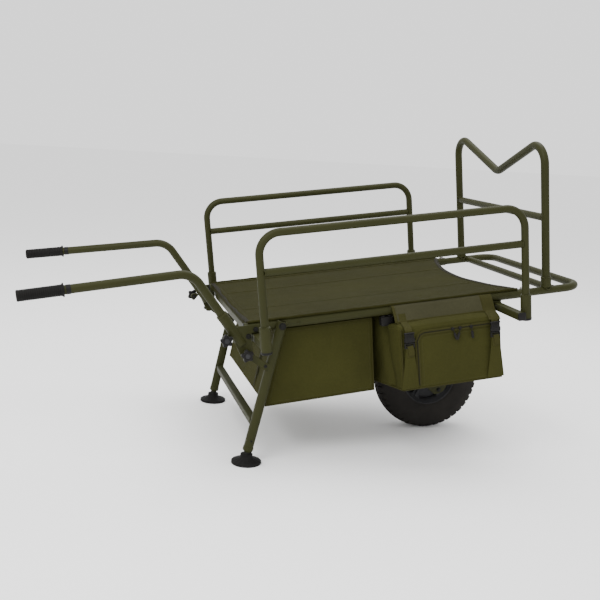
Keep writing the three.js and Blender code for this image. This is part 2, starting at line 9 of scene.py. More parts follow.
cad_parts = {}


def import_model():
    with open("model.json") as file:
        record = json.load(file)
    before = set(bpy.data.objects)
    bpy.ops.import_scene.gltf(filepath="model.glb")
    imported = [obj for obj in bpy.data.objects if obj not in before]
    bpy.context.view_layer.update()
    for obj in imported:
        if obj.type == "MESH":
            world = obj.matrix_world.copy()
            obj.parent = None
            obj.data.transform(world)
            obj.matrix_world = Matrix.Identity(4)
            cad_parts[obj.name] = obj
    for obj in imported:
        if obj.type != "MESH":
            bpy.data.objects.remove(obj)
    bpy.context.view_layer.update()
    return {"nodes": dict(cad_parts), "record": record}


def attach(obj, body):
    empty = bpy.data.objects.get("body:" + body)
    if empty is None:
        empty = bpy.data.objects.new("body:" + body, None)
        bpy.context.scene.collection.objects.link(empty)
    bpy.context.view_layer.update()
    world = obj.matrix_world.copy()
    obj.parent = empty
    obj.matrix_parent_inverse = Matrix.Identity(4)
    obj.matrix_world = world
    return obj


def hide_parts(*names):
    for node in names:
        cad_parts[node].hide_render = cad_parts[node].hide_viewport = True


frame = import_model()
behaviour = frame["record"]["behaviour"]
joint = {j["name"]: j for j in behaviour["joints"]}
body_of = {node: body for body, nodes in behaviour["bodies"].items() for node in nodes}
SIDES = (("left", 1), ("right", -1))

# ---- the deck's own axes: shapes are worked out in millimetres along them -----------------------
LEG_PIVOT = (81.7, 0.0, -5.5)
AXIS_X = np.array(joint["extension_reach"]["axis"], float)
AXIS_Z = np.array(joint["v_frame_lift"]["axis"], float)
AXES = np.stack([AXIS_X, np.cross(AXIS_Z, AXIS_X), AXIS_Z])
ORIGIN = np.array(joint["leg_fold"]["pos_m"]) - np.array(LEG_PIVOT) @ AXES / 1000


def world(points):
    """Metres in the row frame for millimetres along the deck's axes."""
    return np.asarray(points, float) @ AXES / 1000 + ORIGIN


def deck_points(node):
    mesh = frame["nodes"][node].data
    places = np.empty(len(mesh.vertices) * 3)
    mesh.vertices.foreach_get("co", places)
    return (places.reshape(-1, 3) - ORIGIN) @ AXES.T * 1000


def span(node):
    points = deck_points(node)
    return points.min(0), points.max(0)


def end_ring(node, direction, count=24):
    """Centre of the ring of vertices that lies furthest along a direction."""
    points = deck_points(node)
    return points[np.argsort(-(points @ np.array(direction, float)))[:count]].mean(0)


def axis_of(name):
    return AXES @ np.array(joint[name]["axis"], float)


def unit(v):
    v = np.asarray(v, float)
    return v / np.linalg.norm(v)


# ---- meshes -------------------------------------------------------------------------------------
def outward(points, faces):
    """The faces, turned round if their signed volume is negative: the sum of a·(b × c) / 6."""
    volume = 0.0
    for face in faces:
        a, b, c = points[face[0]], points[face[1:-1]], points[face[2:]]
        volume += np.einsum("j,ij->", a, np.cross(b, c))
    return [face[::-1] for face in faces] if volume < 0 else faces


def body_mesh(name, points, faces, crease=32.0, uv=None, closed=True):
    """An object from deck-frame points; edges sharper than the crease angle stay sharp."""
    points = np.asarray(points, float)
    mesh = bpy.data.meshes.new(name)
    lists = [list(map(int, face)) for face in faces]
    mesh.from_pydata(world(points).tolist(), [], outward(points, lists) if closed else lists)
    mesh.polygons.foreach_set("use_smooth", np.ones(len(mesh.polygons), bool))
    mesh.set_sharp_from_angle(angle=math.radians(crease))
    if uv is not None:
        corners = np.empty(len(mesh.loops), np.int32)
        mesh.loops.foreach_get("vertex_index", corners)
        layer = mesh.uv_layers.new(name="UVMap")
        layer.data.foreach_set("uv", np.asarray(uv, float)[corners].ravel())
    piece = bpy.data.objects.new(name, mesh)
    bpy.context.collection.objects.link(piece)
    return piece


def lattice(rows, columns, across=True, along=False):
    """Quads over a grid of points; across closes each row, along joins the last row to the first."""
    i, j = np.meshgrid(np.arange(rows if along else rows - 1),
                       np.arange(columns if across else columns - 1), indexing="ij")
    i, j = i.ravel(), j.ravel()
    i2, j2 = (i + 1) % rows, (j + 1) % columns
    return np.stack([i * columns + j, i * columns + j2, i2 * columns + j2, i2 * columns + j], 1).tolist()


def stack(rings, loop=False):
    """Points and faces over a stack of closed rings, with an end face at each end unless it loops."""
    rings = np.asarray(rings, float)
    rows, columns = rings.shape[:2]
    faces = lattice(rows, columns, True, loop)
    if not loop:
        faces.append(list(range(columns)))
        faces.append(list(range((rows - 1) * columns, rows * columns)))
        faces[-2] = faces[-2][::-1]
    return rings.reshape(-1, 3), faces


def together(*parts):
    """One set of points and faces out of several closed ones."""
    points, faces, start = [], [], 0
    for part_points, part_faces in parts:
        points.append(part_points)
        turned = outward(part_points, part_faces)
        faces.extend([[k + start for k in face] for face in turned])
        start += len(part_points)
    return np.concatenate(points), faces


def circle(radius, count=32):
    a = np.arange(count) * 2 * math.pi / count
    return radius * np.stack([np.cos(a), np.sin(a)], 1)


def rounded(width, height, corner, per_corner=5):
    """A rectangle with round corners: each corner is a quarter circle."""
    corner = min(corner, width / 2 - 0.01, height / 2 - 0.01)
    a = np.linspace(0, math.pi / 2, per_corner)
    points = []
    for k, (sx, sy) in enumerate(((1, 1), (-1, 1), (-1, -1), (1, -1))):
        centre = np.array([sx * (width / 2 - corner), sy * (height / 2 - corner)])
        points.append(centre + corner * np.stack([np.cos(a + k * math.pi / 2), np.sin(a + k * math.pi / 2)],
                                                 1))
    return np.concatenate(points)


def route(corners, bend=0.0, steps=14):
    """Points and unit tangents of a line through corners, each rounded by a circular arc:
    p = start + into·R·sin a + sideways·R·(1 - cos a)."""
    corners = [np.asarray(c, float) for c in corners]
    points, tangents = [corners[0][None]], [unit(corners[1] - corners[0])[None]]
    for before, corner, after in zip(corners, corners[1:], corners[2:]):
        into, out = unit(corner - before), unit(after - corner)
        turn = math.acos(np.clip(into @ out, -1, 1))
        sideways = unit(out - into * (into @ out))
        a = np.linspace(0, turn, steps + 1)[:, None]
        points.append(corner - into * bend * math.tan(turn / 2)
                      + into * bend * np.sin(a) + sideways * bend * (1 - np.cos(a)))
        tangents.append(into * np.cos(a) + sideways * np.sin(a))
    points.append(corners[-1][None])
    tangents.append(unit(corners[-1] - corners[-2])[None])
    return np.concatenate(points), np.concatenate(tangents)


def straight(line, way=(1.0, 0.0, 0.0)):
    """A line that is taken to run one way all along."""
    return line, np.tile(np.asarray(way, float), (len(line), 1))


def headed(line):
    """A line and its unit tangents."""
    tangents = np.gradient(line, axis=0)
    return line, tangents / np.linalg.norm(tangents, axis=1)[:, None]


def smooth(points, count=60):
    """Points and tangents of a soft line through points: cubic in each span, by Catmull and Rom's rule."""
    p = np.asarray(points, float)
    p = np.concatenate([2 * p[:1] - p[1:2], p, 2 * p[-1:] - p[-2:-1]])
    t = np.linspace(0, len(p) - 3 - 1e-6, count)
    k = t.astype(int)
    f = (t - k)[:, None]
    a, b, c, d = p[k], p[k + 1], p[k + 2], p[k + 3]
    line = b + 0.5 * f * (c - a + f * (2 * a - 5 * b + 4 * c - d + f * (3 * (b - c) + d - a)))
    return headed(line)


def sides_along(tangents, up):
    """Two unit vectors square to each tangent; the first stays as near as it can to the one before it."""
    v, first = np.array(up, float), []
    for t in tangents:
        v = unit(v - t * (v @ t))
        first.append(v)
    first = np.array(first)
    return first, np.cross(tangents, first)


def rings_on(path, stations, up):
    """One ring for each (index on the path, shift along the tangent, outline) station."""
    points, tangents = path
    u, v = sides_along(tangents, up)
    return np.array([points[k] + tangents[k] * shift + outline[:, :1] * u[k] + outline[:, 1:] * v[k]
                     for k, shift, outline in stations])


def pipe(path, size, wall=1.5, section=circle, depth=28.0, edge=0.7, up=(0.1, 0.2, 1)):
    """An open-ended tube: bore, cut end, rounded edge and outside, all rings along one path."""
    last = len(path[0]) - 1
    bore = section(size - wall)
    rings = [(0, depth, bore), (0, 0, bore), (0, 0, section(size - edge)), (0, edge, section(size))]
    rings += [(k, 0, section(size)) for k in range(1, last)]
    rings += [(last, -edge, section(size)), (last, 0, section(size - edge)), (last, 0, bore),
              (last, -depth, bore)]
    return stack(rings_on(path, rings, up))


def bar(path, section, up=(0.1, 0.2, 1), edge=0.0):
    """A solid bar of one outline; edge shrinks its ends a little."""
    last = len(path[0]) - 1
    outline = np.asarray(section, float)
    small = outline * (1 - edge / np.abs(outline).max()) if edge else outline
    rings = [(0, 0, small), (0, edge, outline)] if edge else [(0, 0, outline)]
    rings += [(k, 0, outline) for k in range(1, last)]
    rings += [(last, -edge, outline), (last, 0, small)] if edge else [(last, 0, outline)]
    return stack(rings_on(path, rings, up))


def square_tube(size, corner=3.0):
    return lambda half: rounded(2 * half, 2 * half, max(corner - (size / 2 - half), 0.6))


def turned(profile, at, axis, count=48, shape=None, up=(0.3, 0.2, 1)):
    """A turned piece: (radius, distance) pairs about an axis; shape(angle, radius) may bend the circle."""
    axis = unit(axis)
    first = unit(np.array(up, float) - axis * (np.array(up, float) @ axis))
    second = np.cross(axis, first)
    a = np.arange(count) * 2 * math.pi / count
    rings = []
    for radius, distance in profile:
        r = (shape(a, radius) if shape else np.full(count, float(radius)))[:, None]
        rings.append(np.asarray(at) + axis * distance
                     + r * (np.cos(a)[:, None] * first + np.sin(a)[:, None] * second))
    return stack(rings)


def ring_turned(profile, at, axis, count=96):
    """A turned ring: its (radius, distance) profile is itself a closed loop."""
    points, _ = turned(profile, at, axis, count)
    return points, lattice(len(profile), count, True, True)


def hexagon(a, radius):
    """Distance from the middle to a six-sided outline in direction a, its corners cut back a little."""
    sixth = math.pi / 3
    return radius * np.minimum(math.cos(sixth / 2) / np.cos(a % sixth - sixth / 2), 0.985)


def hex_head(at, axis, across=13.0, height=6.0):
    """A hexagon head with a washer under it and a chamfered top."""
    r = across / 2 / math.cos(math.pi / 6)
    washer = turned([(0.01, 0), (r * 1.35, 0), (r * 1.35, 1.2), (0.01, 1.2)], at, axis, 32)
    head = turned([(0.01, 1.1), (r, 1.1), (r, height - 1), (r * 0.86, height), (0.01, height)], at, axis, 48,
                  hexagon)
    return together(washer, head)


def bead(curve, size=2.1, ripple=0.35):
    """A weld bead: a small round section swept along a closed curve, its size rippled."""
    curve = np.asarray(curve, float)
    tangents = np.roll(curve, -1, 0) - np.roll(curve, 1, 0)
    tangents /= np.linalg.norm(tangents, axis=1)[:, None]
    u = curve - curve.mean(0)
    u -= tangents * np.einsum("ij,ij->i", u, tangents)[:, None]
    u /= np.linalg.norm(u, axis=1)[:, None]
    v = np.cross(tangents, u)
    grow = size + ripple * np.sin(np.arange(len(curve)) * 2 * math.pi / 6)
    a = np.arange(8) * math.pi / 4
    rings = curve[:, None] + grow[:, None,
                                  None] * (np.cos(a)[None, :, None] * u[:, None]
                                           + np.sin(a)[None, :, None] * v[:, None])
    return stack(rings, loop=True)


def weld(centre, axis, radius, onto=None, count=72):
    """A bead around a tube end; onto is the radius of a round tube met squarely, or None for a flat."""
    axis = unit(axis)
    first = unit(np.cross(axis, (0.3, 1, 0.2)) if onto is None else onto[1])
    first = unit(first - axis * (first @ axis))
    second = np.cross(axis, first)
    a = np.arange(count) * 2 * math.pi / count
    curve = np.asarray(centre, float) + radius * (np.cos(a)[:, None] * first + np.sin(a)[:, None] * second)
    if onto is not None:
        reach = np.sqrt(np.maximum(onto[0] ** 2 - (radius * np.sin(a)) ** 2, 0))
        curve = curve + axis * reach[:, None]
    return bead(curve)


def slab(low, high, corner=1.5):
    """A block with rounded edges between two opposite corners."""
    low, high = np.minimum(low, high).astype(float), np.maximum(low, high).astype(float)
    middle, size = (low + high) / 2, high - low
    z = [-size[2] / 2, -size[2] / 2 + corner * 0.3, -size[2] / 2 + corner,
         size[2] / 2 - corner, size[2] / 2 - corner * 0.3, size[2] / 2]
    inset = [corner, corner * 0.3, 0, 0, corner * 0.3, corner]
    rings = [np.concatenate([rounded(size[0] - 2 * s, size[1] - 2 * s, corner, 4), np.full((16, 1), h)], 1)
             + middle
             for h, s in zip(z, inset)]
    return stack(rings)


def plate(outline, y0, y1, corner=5.0, edge=0.8):
    """A flat plate: an outline of (x, z) corners, each rounded, its thickness along y."""
    outline = np.asarray(outline, float)
    before, after = np.roll(outline, 1, 0), np.roll(outline, -1, 0)
    loop = []
    for p, b, a in zip(outline, before, after):
        start, end = p + unit(b - p) * corner, p + unit(a - p) * corner
        t = np.linspace(0, 1, 5)[:, None]
        loop.append((1 - t) ** 2 * start + 2 * t * (1 - t) * p + t ** 2 * end)
    loop = np.concatenate(loop)
    tangents = np.roll(loop, -1, 0) - np.roll(loop, 1, 0)
    normals = np.stack([tangents[:, 1], -tangents[:, 0]], 1)
    normals /= np.linalg.norm(normals, axis=1)[:, None]
    area = 0.5 * np.sum(loop[:, 0] * np.roll(loop[:, 1], -1) - np.roll(loop[:, 0], -1) * loop[:, 1])
    inner = loop - normals * edge * math.copysign(1, area)
    low, high = min(y0, y1), max(y0, y1)
    rings = [np.stack([ring[:, 0], np.full(len(ring), y), ring[:, 1]], 1)
             for ring, y in ((inner, low), (loop, low + edge), (loop, high - edge), (inner, high))]
    return stack(rings)


# ---- shader nodes -------------------------------------------------------------------------------
class Value:
    """A shader socket that adds, subtracts, multiplies and divides like a number."""

    def __init__(self, graph, socket):
        self.graph = graph
        self.socket = socket

    def __add__(self, other): return self.graph.math("ADD", self, other)
    def __radd__(self, other): return self.graph.math("ADD", other, self)
    def __sub__(self, other): return self.graph.math("SUBTRACT", self, other)
    def __rsub__(self, other): return self.graph.math("SUBTRACT", other, self)
    def __mul__(self, other): return self.graph.math("MULTIPLY", self, other)
    def __rmul__(self, other): return self.graph.math("MULTIPLY", other, self)
    def __truediv__(self, other): return self.graph.math("DIVIDE", self, other)
    def __rtruediv__(self, other): return self.graph.math("DIVIDE", other, self)


class Graph:
    """The nodes of one material, ending in a Principled surface."""

    def __init__(self, name):
        self.material = bpy.data.materials.new(name)
        self.material.use_nodes = True
        self.tree = self.material.node_tree
        self.surface = self.tree.nodes["Principled BSDF"]

    def put(self, socket, value):
        if isinstance(value, Value):
            self.tree.links.new(value.socket, socket)
        else:
            socket.default_value = value

    def node(self, kind, settings=None, values=None, output=0):
        made = self.tree.nodes.new("ShaderNode" + kind)
        for name, value in (settings or {}).items():
            setattr(made, name, value)
        for name, value in (values or {}).items():
            self.put(made.inputs[name], value)
        return Value(self, made.outputs[output])

    def math(self, operation, a, b=0.0):
        return self.node("Math", {"operation": operation}, {0: a, 1: b})

    def place(self, scale=(1, 1, 1)):
        """Object coordinates, each axis multiplied by a scale."""
        where = self.node("TexCoord", output="Object")
        return self.node("VectorMath", {"operation": "MULTIPLY"}, {0: where, 1: scale})

    def noise(self, scale, detail=3.0, rough=0.55, where=None):
        values = {"Scale": scale, "Detail": detail, "Roughness": rough, "Vector": where or self.place()}
        return self.node("TexNoise", None, values)

    def mix(self, factor, a, b):
        return self.node("Mix", {"data_type": "RGBA"}, {0: factor, 6: a, 7: b}, 2)

    def step(self, value, low, high):
        """0 below low, 1 above high, and straight between them."""
        return self.node("MapRange", {"clamp": True}, {0: value, 1: low, 2: high})

    def bump(self, height, distance, strength=1.0, under=None):
        values = {"Height": height, "Distance": distance, "Strength": strength}
        if under is not None:
            values["Normal"] = under
        return self.node("Bump", None, values)

    def finish(self, colour, roughness, normal=None, metallic=0.0, **more):
        self.put(self.surface.inputs["Base Color"], colour)
        self.put(self.surface.inputs["Roughness"], roughness)
        self.put(self.surface.inputs["Metallic"], metallic)
        if normal is not None:
            self.put(self.surface.inputs["Normal"], normal)
        for name, value in more.items():
            self.put(self.surface.inputs[name.replace("_", " ")], value)
        return self.material


def shade(colour, factor):
    return tuple(min(c * factor, 1.0) for c in colour) + (1.0,)


def paint(name, colour):
    """Satin powder coat: fine orange peel, slow change of tone and a little dust in the broad patches."""
    g = Graph(name)
    slow, peel = g.noise(7, 3), g.noise(620, 2)
    tone = g.mix(g.step(slow, 0.35, 0.7), shade(colour, 0.93), shade(colour, 1.07))
    dust = g.step(g.noise(38, 6, 0.7), 0.62, 0.8) * 0.12
    colour_out = g.mix(dust, tone, shade((0.055, 0.052, 0.030), 1.0))
    rough = 0.46 + slow * 0.10 + dust * 0.6
    return g.finish(colour_out, rough, g.bump(peel, 0.00012, 0.5), Specular_IOR_Level=0.10)


def cloth(name, colour, weave=1100.0, folds=0.0016):
    """Coated polyester: threads along the cloth's own width and length, mottled tone, soft creases."""
    g = Graph(name)
    where = g.node("TexCoord", output="UV")
    across = g.node("SeparateXYZ", None, {0: where}, 0)
    along = g.node("SeparateXYZ", None, {0: where}, 1)
    warp, weft = g.math("SINE", across * (weave * math.pi)), g.math("SINE", along * (weave * math.pi))
    threads = warp * weft
    slow, slub = g.noise(5, 4, 0.6), g.noise(150, 3, 0.6)
    tone = g.mix(g.step(slow, 0.3, 0.72), shade(colour, 0.86), shade(colour, 1.13))
    tone = g.mix(g.step(slub, 0.35, 0.75) * 0.35, tone, shade(colour, 0.7))
    tone = g.mix(g.step(threads, -0.6, 0.9) * 0.22, tone, shade(colour, 1.35))
    creases = g.noise(11, 4, 0.5, g.place((1, 1, 0.55)))
    relief = g.bump(creases, folds * 4, 0.8)
    relief = g.bump(threads * 0.5 + slub * 0.5, 0.00025, 0.7, relief)
    return g.finish(tone, 0.78 + slub * 0.12, relief, Specular_IOR_Level=0.06)


def ribbed(name, colour, pitch=1.6):
    """Woven tape: ribs across the tape's length, a herringbone tone and darker patches here and there."""
    g = Graph(name)
    where = g.node("TexCoord", output="UV")
    across = g.node("SeparateXYZ", None, {0: where}, 0)
    along = g.node("SeparateXYZ", None, {0: where}, 1)
    ribs = g.math("SINE", along * (2000 * math.pi / pitch))
    cord = g.math("SINE", across * (2000 * math.pi / (pitch * 1.7)))
    tone = g.mix(g.step(ribs * 0.6 + cord * 0.4, -0.8, 0.9), shade(colour, 0.75), shade(colour, 1.2))
    tone = g.mix(g.step(g.noise(60, 4), 0.4, 0.8) * 0.3, tone, shade(colour, 0.8))
    return g.finish(tone, 0.72, g.bump(ribs * 0.6 + cord * 0.4, 0.0003, 0.7), Specular_IOR_Level=0.06)


def moulded(name, colour, rough=0.5, grain=900.0, relief=0.00012):
    """Moulded plastic or rubber: spark-eroded grain, slow gloss change and a trace of dust."""
    g = Graph(name)
    grit, slow = g.noise(grain, 3), g.noise(14, 4)
    dust = g.step(g.noise(55, 6, 0.7), 0.58, 0.82) * 0.10
    tone = g.mix(g.step(slow, 0.35, 0.7), shade(colour, 0.85), shade(colour, 1.2))
    tone = g.mix(dust, tone, shade((0.025, 0.024, 0.020), 1.0))
    return g.finish(tone, rough + slow * 0.14 + dust, g.bump(grit, relief, 0.6), Specular_IOR_Level=0.10)


def zinc(name, colour):
    """Zinc-plated steel: brushed streaks, cloudy gloss and darker tone in the patches."""
    g = Graph(name)
    streaks = g.noise(300, 3, 0.6, g.place((1, 1, 9)))
    cloud = g.noise(90, 4)
    tone = g.mix(g.step(cloud, 0.4, 0.7), shade(colour, 0.72), shade(colour, 1.1))
    return g.finish(tone, 0.26 + cloud * 0.22, g.bump(streaks, 0.00006, 0.4), metallic=1.0)


OLIVE = (0.0215, 0.0225, 0.0062)
paint_olive = paint("olive_paint", OLIVE)
deck_cloth = cloth("deck_cloth", (0.0168, 0.0166, 0.0030))
bag_cloth = cloth("bag_cloth", (0.0285, 0.0285, 0.0070))
flap_cloth = cloth("flap_cloth", (0.0350, 0.0340, 0.0175))
tape_olive = ribbed("olive_tape", (0.0310, 0.0300, 0.0080))
tape_black = ribbed("black_tape", (0.014, 0.013, 0.008))
thread = moulded("thread", (0.050, 0.048, 0.022), 0.7)
black_plastic = moulded("black_plastic", (0.0085, 0.0080, 0.0075), 0.38)
rim_plastic = moulded("rim_plastic", (0.023, 0.023, 0.024), 0.45, 500)
black_rubber = moulded("black_rubber", (0.0070, 0.0066, 0.0062), 0.62, 1300, 0.0002)
tyre_rubber = moulded("tyre_rubber", (0.015, 0.0135, 0.012), 0.70, 700, 0.0004)
zinc_steel = zinc("zinc_steel", (0.42, 0.41, 0.39))
dark_steel = moulded("dark_steel", (0.0085, 0.0085, 0.0070), 0.42)


def add(name, made, material, on, stands_for=(), crease=32.0, uv=None):
    """Make a piece of points and faces, paint it and hang it on the body of a CAD node."""
    piece = body_mesh(name, made[0], made[1], crease, uv)
    return hang(piece, material, on, stands_for)


def hang(piece, material, on, stands_for=()):
    piece.data.materials.append(material)
    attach(piece, body_of[on])
    if stands_for:
        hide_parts(*([stands_for] if isinstance(stands_for, str) else stands_for))
    return piece


# ---- deck frame ---------------------------------------------------------------------------------
COS_FACET = math.cos(math.pi / 12)  # the frame's tubes are drawn twelve-sided; these are round


def tube_between(node, along):
    """Centre line ends and radius of a straight tube node that runs along one deck axis."""
    low, high = span(node)
    middle = (low + high) / 2
    start, end = middle.copy(), middle.copy()
    start[along], end[along] = low[along], high[along]
    across = [k for k in range(3) if k != along]
    return start, end, (high - low)[across].max() / 2


def stud(centre, axis, radius=6.0):
    """A press stud: a domed cap over a thin rolled rim."""
    return turned([(0.01, 0), (radius, 0), (radius, 1), (radius * 0.82, 1.7), (radius * 0.7, 1.3),
                   (radius * 0.45, 2.6), (0.01, 3.0)], centre, axis, 28)


for side, s in SIDES:
    start, end, half = tube_between(f"{side}_side_tube", 0)
    side_radius = half / COS_FACET
    side_tube_z, side_y = start[2], abs(start[1])
    add(f"{side}_side_tube_skin", pipe(route([start, end]), side_radius, 1.3, depth=40),
        paint_olive, f"{side}_side_tube", f"{side}_side_tube")
    cap = [(0.01, 14), (side_radius - 1.8, 14), (side_radius - 1.8, 0), (side_radius - 0.3, 0),
           (side_radius - 0.8, -2.4), (side_radius * 0.6, -3.4), (0.01, -3.6)]
    add(f"{side}_side_tube_plug", turned(cap, start, (1, 0, 0)), black_plastic, f"{side}_side_tube")
    low, high = span(f"{side}_clamp_bolt")
    head_base = np.array([(low[0] + high[0]) / 2, (low[1] + high[1]) / 2, side_tube_z + side_radius])
    add(f"{side}_clamp_bolt_head", hex_head(head_base, (0, 0, 1), 12, 6.2), zinc_steel,
        f"{side}_clamp_bolt", f"{side}_clamp_bolt")

start, end, half = tube_between("rear_deck_tube", 1)
rear_tube = pipe(route([start, end]), half / COS_FACET)
add("rear_deck_tube_skin", rear_tube, paint_olive, "rear_deck_tube", "rear_deck_tube")
for side, s in SIDES:
    centre = np.array([start[0], s * side_y, start[2]])
    add(f"{side}_rear_weld", weld(centre, (0, -s, 0), half / COS_FACET, (side_radius, (1, 0, 0))),
        paint_olive, "rear_deck_tube")

for name in ("rear_cross_tube", "wheel_cross_tube", "front_cross_tube"):
    low, high = span(name)
    middle, size = (low + high) / 2, high[0] - low[0]
    ends = [np.array([middle[0], y, middle[2]]) for y in (low[1], high[1])]
    add(name + "_skin", pipe(route(ends), size / 2, 2.0, square_tube(size), 60, up=(1, 0, 0)),
        paint_olive, name, name)
    for side, s in SIDES:
        foot = np.array([middle[0], s * side_y, high[2] + 0.2])
        outline = rounded(size + 1, 2 * side_radius * 0.62, 6, 12)
        add(f"{side}_{name}_weld", bead(np.column_stack([outline, np.zeros(len(outline))]) + foot, 2.0),
            paint_olive, name)

# ---- sizes that the frame's boxes do not give, in millimetres -----------------------------------
ARM_SIZE = 25.0
RAIL_BEND = 66.0
HANDLE_RADIUS, HANDLE_BEND = 14.0, 72.0
SLEEVE_RADIUS, PLATE_Y, PLATE_THICKNESS, PINCH_REACH = 17.8, 365.8, 5.0, 28.0
LEG_Y, LEG_RADIUS, LEG_LENGTH, LEG_TOP = 371.0, 16.0, 424.0, 13.8
INNER_LEG_RADIUS, BRACE_ALONG = 11.0, 339.0
STRUT_TOP, STRUT_FOOT = np.array((-40.0, -82.0)), np.array((22.0, -134.0))
FORK_Y, FORK_RADIUS, FORK_CORNER, FORK_BEND = 68.0, 11.0, -388.0, 45.0
FORK_FEET = (545.0, 835.0)
EXTENSION_RADIUS, EXTENSION_BEND, CROSS_BAR_RADIUS = 13.5, 60.0, 12.5
V_RADIUS, V_BEND, V_DIP, V_SHOULDER = 14.0, 62.0, 382.0, 514.0

# ---- outriggers and side rails ------------------------------------------------------------------
for side, s in SIDES:
    for end in ("rear", "front"):
        node = f"{side}_{end}_outrigger"
        points = deck_points(node)
        arm_end = points[np.abs(points[:, 1]) < np.abs(points[:, 1]).min() + 1]
        arm_x, arm_z = (arm_end.min(0) + arm_end.max(0))[[0, 2]] / 2
        inner, outer = np.abs(points[:, 1]).min(), np.abs(points[:, 1]).max()
        if end == "rear":
            outer -= 24
        arm = [np.array([arm_x, s * y, arm_z]) for y in (inner, outer)]
        add(node + "_arm", pipe(route(arm), ARM_SIZE / 2, 1.6, square_tube(ARM_SIZE), 40, up=(1, 0, 0)),
            paint_olive, node, node)
        top = points[:, 2].max()
        socket = points[points[:, 2] > top - 0.5]
        centre = (socket.min(0) + socket.max(0)) / 2
        radius = (socket.max(0) - socket.min(0))[1] / 2 / COS_FACET
        foot_z = points[:, 2].min()
        upright = route([(centre[0], centre[1], foot_z), (centre[0], centre[1], top)])
        add(node + "_socket", pipe(upright, radius, 3.6, depth=26), paint_olive, node)
        plug = [(0.01, 7), (radius - 4, 7), (radius - 4, 0.4), (radius + 0.6, 0.4), (radius + 0.6, -5),
                (radius - 1.4, -7.5), (0.01, -8)]
        plug = turned(plug, (centre[0], centre[1], foot_z), (0, 0, 1))
        add(node + "_socket_plug", plug, black_plastic, node)
        outline = rounded(ARM_SIZE + 1, ARM_SIZE + 1, 5, 12)
        for k, edge in enumerate((-1, 1)):
            seam = np.column_stack([np.zeros(40), np.zeros(40), np.linspace(-12, 12, 40)])
            if end == "rear":
                seam[:, 0], seam[:, 1] = edge * 12.6, -s * radius * 0.72
            else:
                seam[:, 0], seam[:, 1] = -radius * 0.62, edge * radius * 0.8
            line = seam + np.array([centre[0], centre[1], arm_z])
            add(f"{node}_weld_{k}",
                bar((line, np.tile((0.0, 0.0, 1.0), (40, 1))), circle(2.3, 10), (1, 0, 0), 0.8),
                paint_olive, node)
        if end == "front":
            cap_low, cap_high = span(node + "_cap")
            low = (cap_low[0] + 0.3, s * outer + s * 0.2, cap_low[2] + 0.3)
            high = (cap_high[0] - 0.3, s * max(abs(cap_low[1]), abs(cap_high[1])), cap_high[2] - 0.3)
            add(node + "_end_cap", slab(low, high, 2.6), black_plastic, node + "_cap", node + "_cap")

    hoop = f"{side}_rail_hoop"
    low, high = span(hoop)
    rail_radius = (high[1] - low[1]) / 2 / COS_FACET
    y = (low[1] + high[1]) / 2
    x0, x1 = low[0] + rail_radius * COS_FACET, high[0] - rail_radius * COS_FACET
    top = high[2] - rail_radius * COS_FACET
    corners = [(x0, y, low[2]), (x0, y, top), (x1, y, top), (x1, y, low[2])]
    add(hoop + "_tube", pipe(route(corners, RAIL_BEND, 20), rail_radius, depth=18), paint_olive, hoop, hoop)
    start, end, _ = tube_between(f"{side}_rail_mid_bar", 0)
    add(f"{side}_rail_mid_tube", pipe(route([start, end]), rail_radius - 0.4), paint_olive,
        f"{side}_rail_mid_bar", f"{side}_rail_mid_bar")
    for k, (x, direction) in enumerate(((x0, 1), (x1, -1))):
        add(f"{side}_rail_weld_{k}", weld((x, y, start[2]), (direction, 0, 0), rail_radius - 0.3,
                                          (rail_radius, (0, 1, 0))), paint_olive, f"{side}_rail_mid_bar")
        collar = [(0.9, 0), (4.6, 0), (4.6, 1.4), (1.6, 3.2), (0.9, 3.2)]
        collar = turned([(rail_radius + past, z) for past, z in collar], (x, y, 28.2), (0, 0, 1))
        add(f"{side}_rail_collar_{k}", collar, paint_olive, f"{side}_rear_outrigger")


# ---- knobs --------------------------------------------------------------------------------------
def star_knob(at, axis, radius=21.0, height=15.0, stem=14.0):
    """A five-lobed knob: each level's outline is R·(1 - d + d·cos 5a); a cap sits in its domed top."""
    levels = [(0.50, -4.0, 0.0), (0.55, 0.0, 0.02), (0.90, 0.3, 0.11), (0.99, 1.8, 0.13), (1.0, 4.0, 0.14),
              (1.0, height - 4.5, 0.14), (0.97, height - 2.2, 0.13), (0.88, height - 0.7, 0.11),
              (0.74, height, 0.07), (0.46, height + 0.2, 0.0), (0.42, height - 1.2, 0.0),
              (0.02, height - 1.0, 0.0)]
    axis = unit(axis)
    first = unit(np.cross(axis, (0.2, 0.1, 1)))
    second = np.cross(axis, first)
    a = np.arange(100) * 2 * math.pi / 100
    rings = []
    for scale, distance, depth in levels:
        r = (radius * scale * (1 - depth + depth * np.cos(5 * a)))[:, None]
        rings.append(np.asarray(at) + axis * distance
                     + r * (np.cos(a)[:, None] * first + np.sin(a)[:, None] * second))
    head = stack(rings)
    shaft = turned([(0.01, -stem), (4.0, -stem), (4.0, -3), (0.01, -3)], at, axis, 24)
    return head, shaft


def add_knob(node, reach):
    """A star knob on its threaded stem, reach millimetres out from the inner face of its node."""
    low, high = span(node)
    axis = np.array([0, math.copysign(1, low[1] + high[1]), 0])
    centre = (low + high) / 2
    face = min(abs(low[1]), abs(high[1])) + reach
    at = np.array([centre[0], axis[1] * face, centre[2]])
    head, shaft = star_knob(at, axis, stem=reach)
    add(node + "_head", head, black_plastic, node, node, 40)
    add(node + "_stem", shaft, dark_steel, node)
    add(node + "_button",
        turned([(0.01, 13.2), (8.2, 13.2), (8.2, 14.6), (6.8, 15.6), (0.01, 16.1)], at, axis, 36),
        rim_plastic, node)
    return at, axis


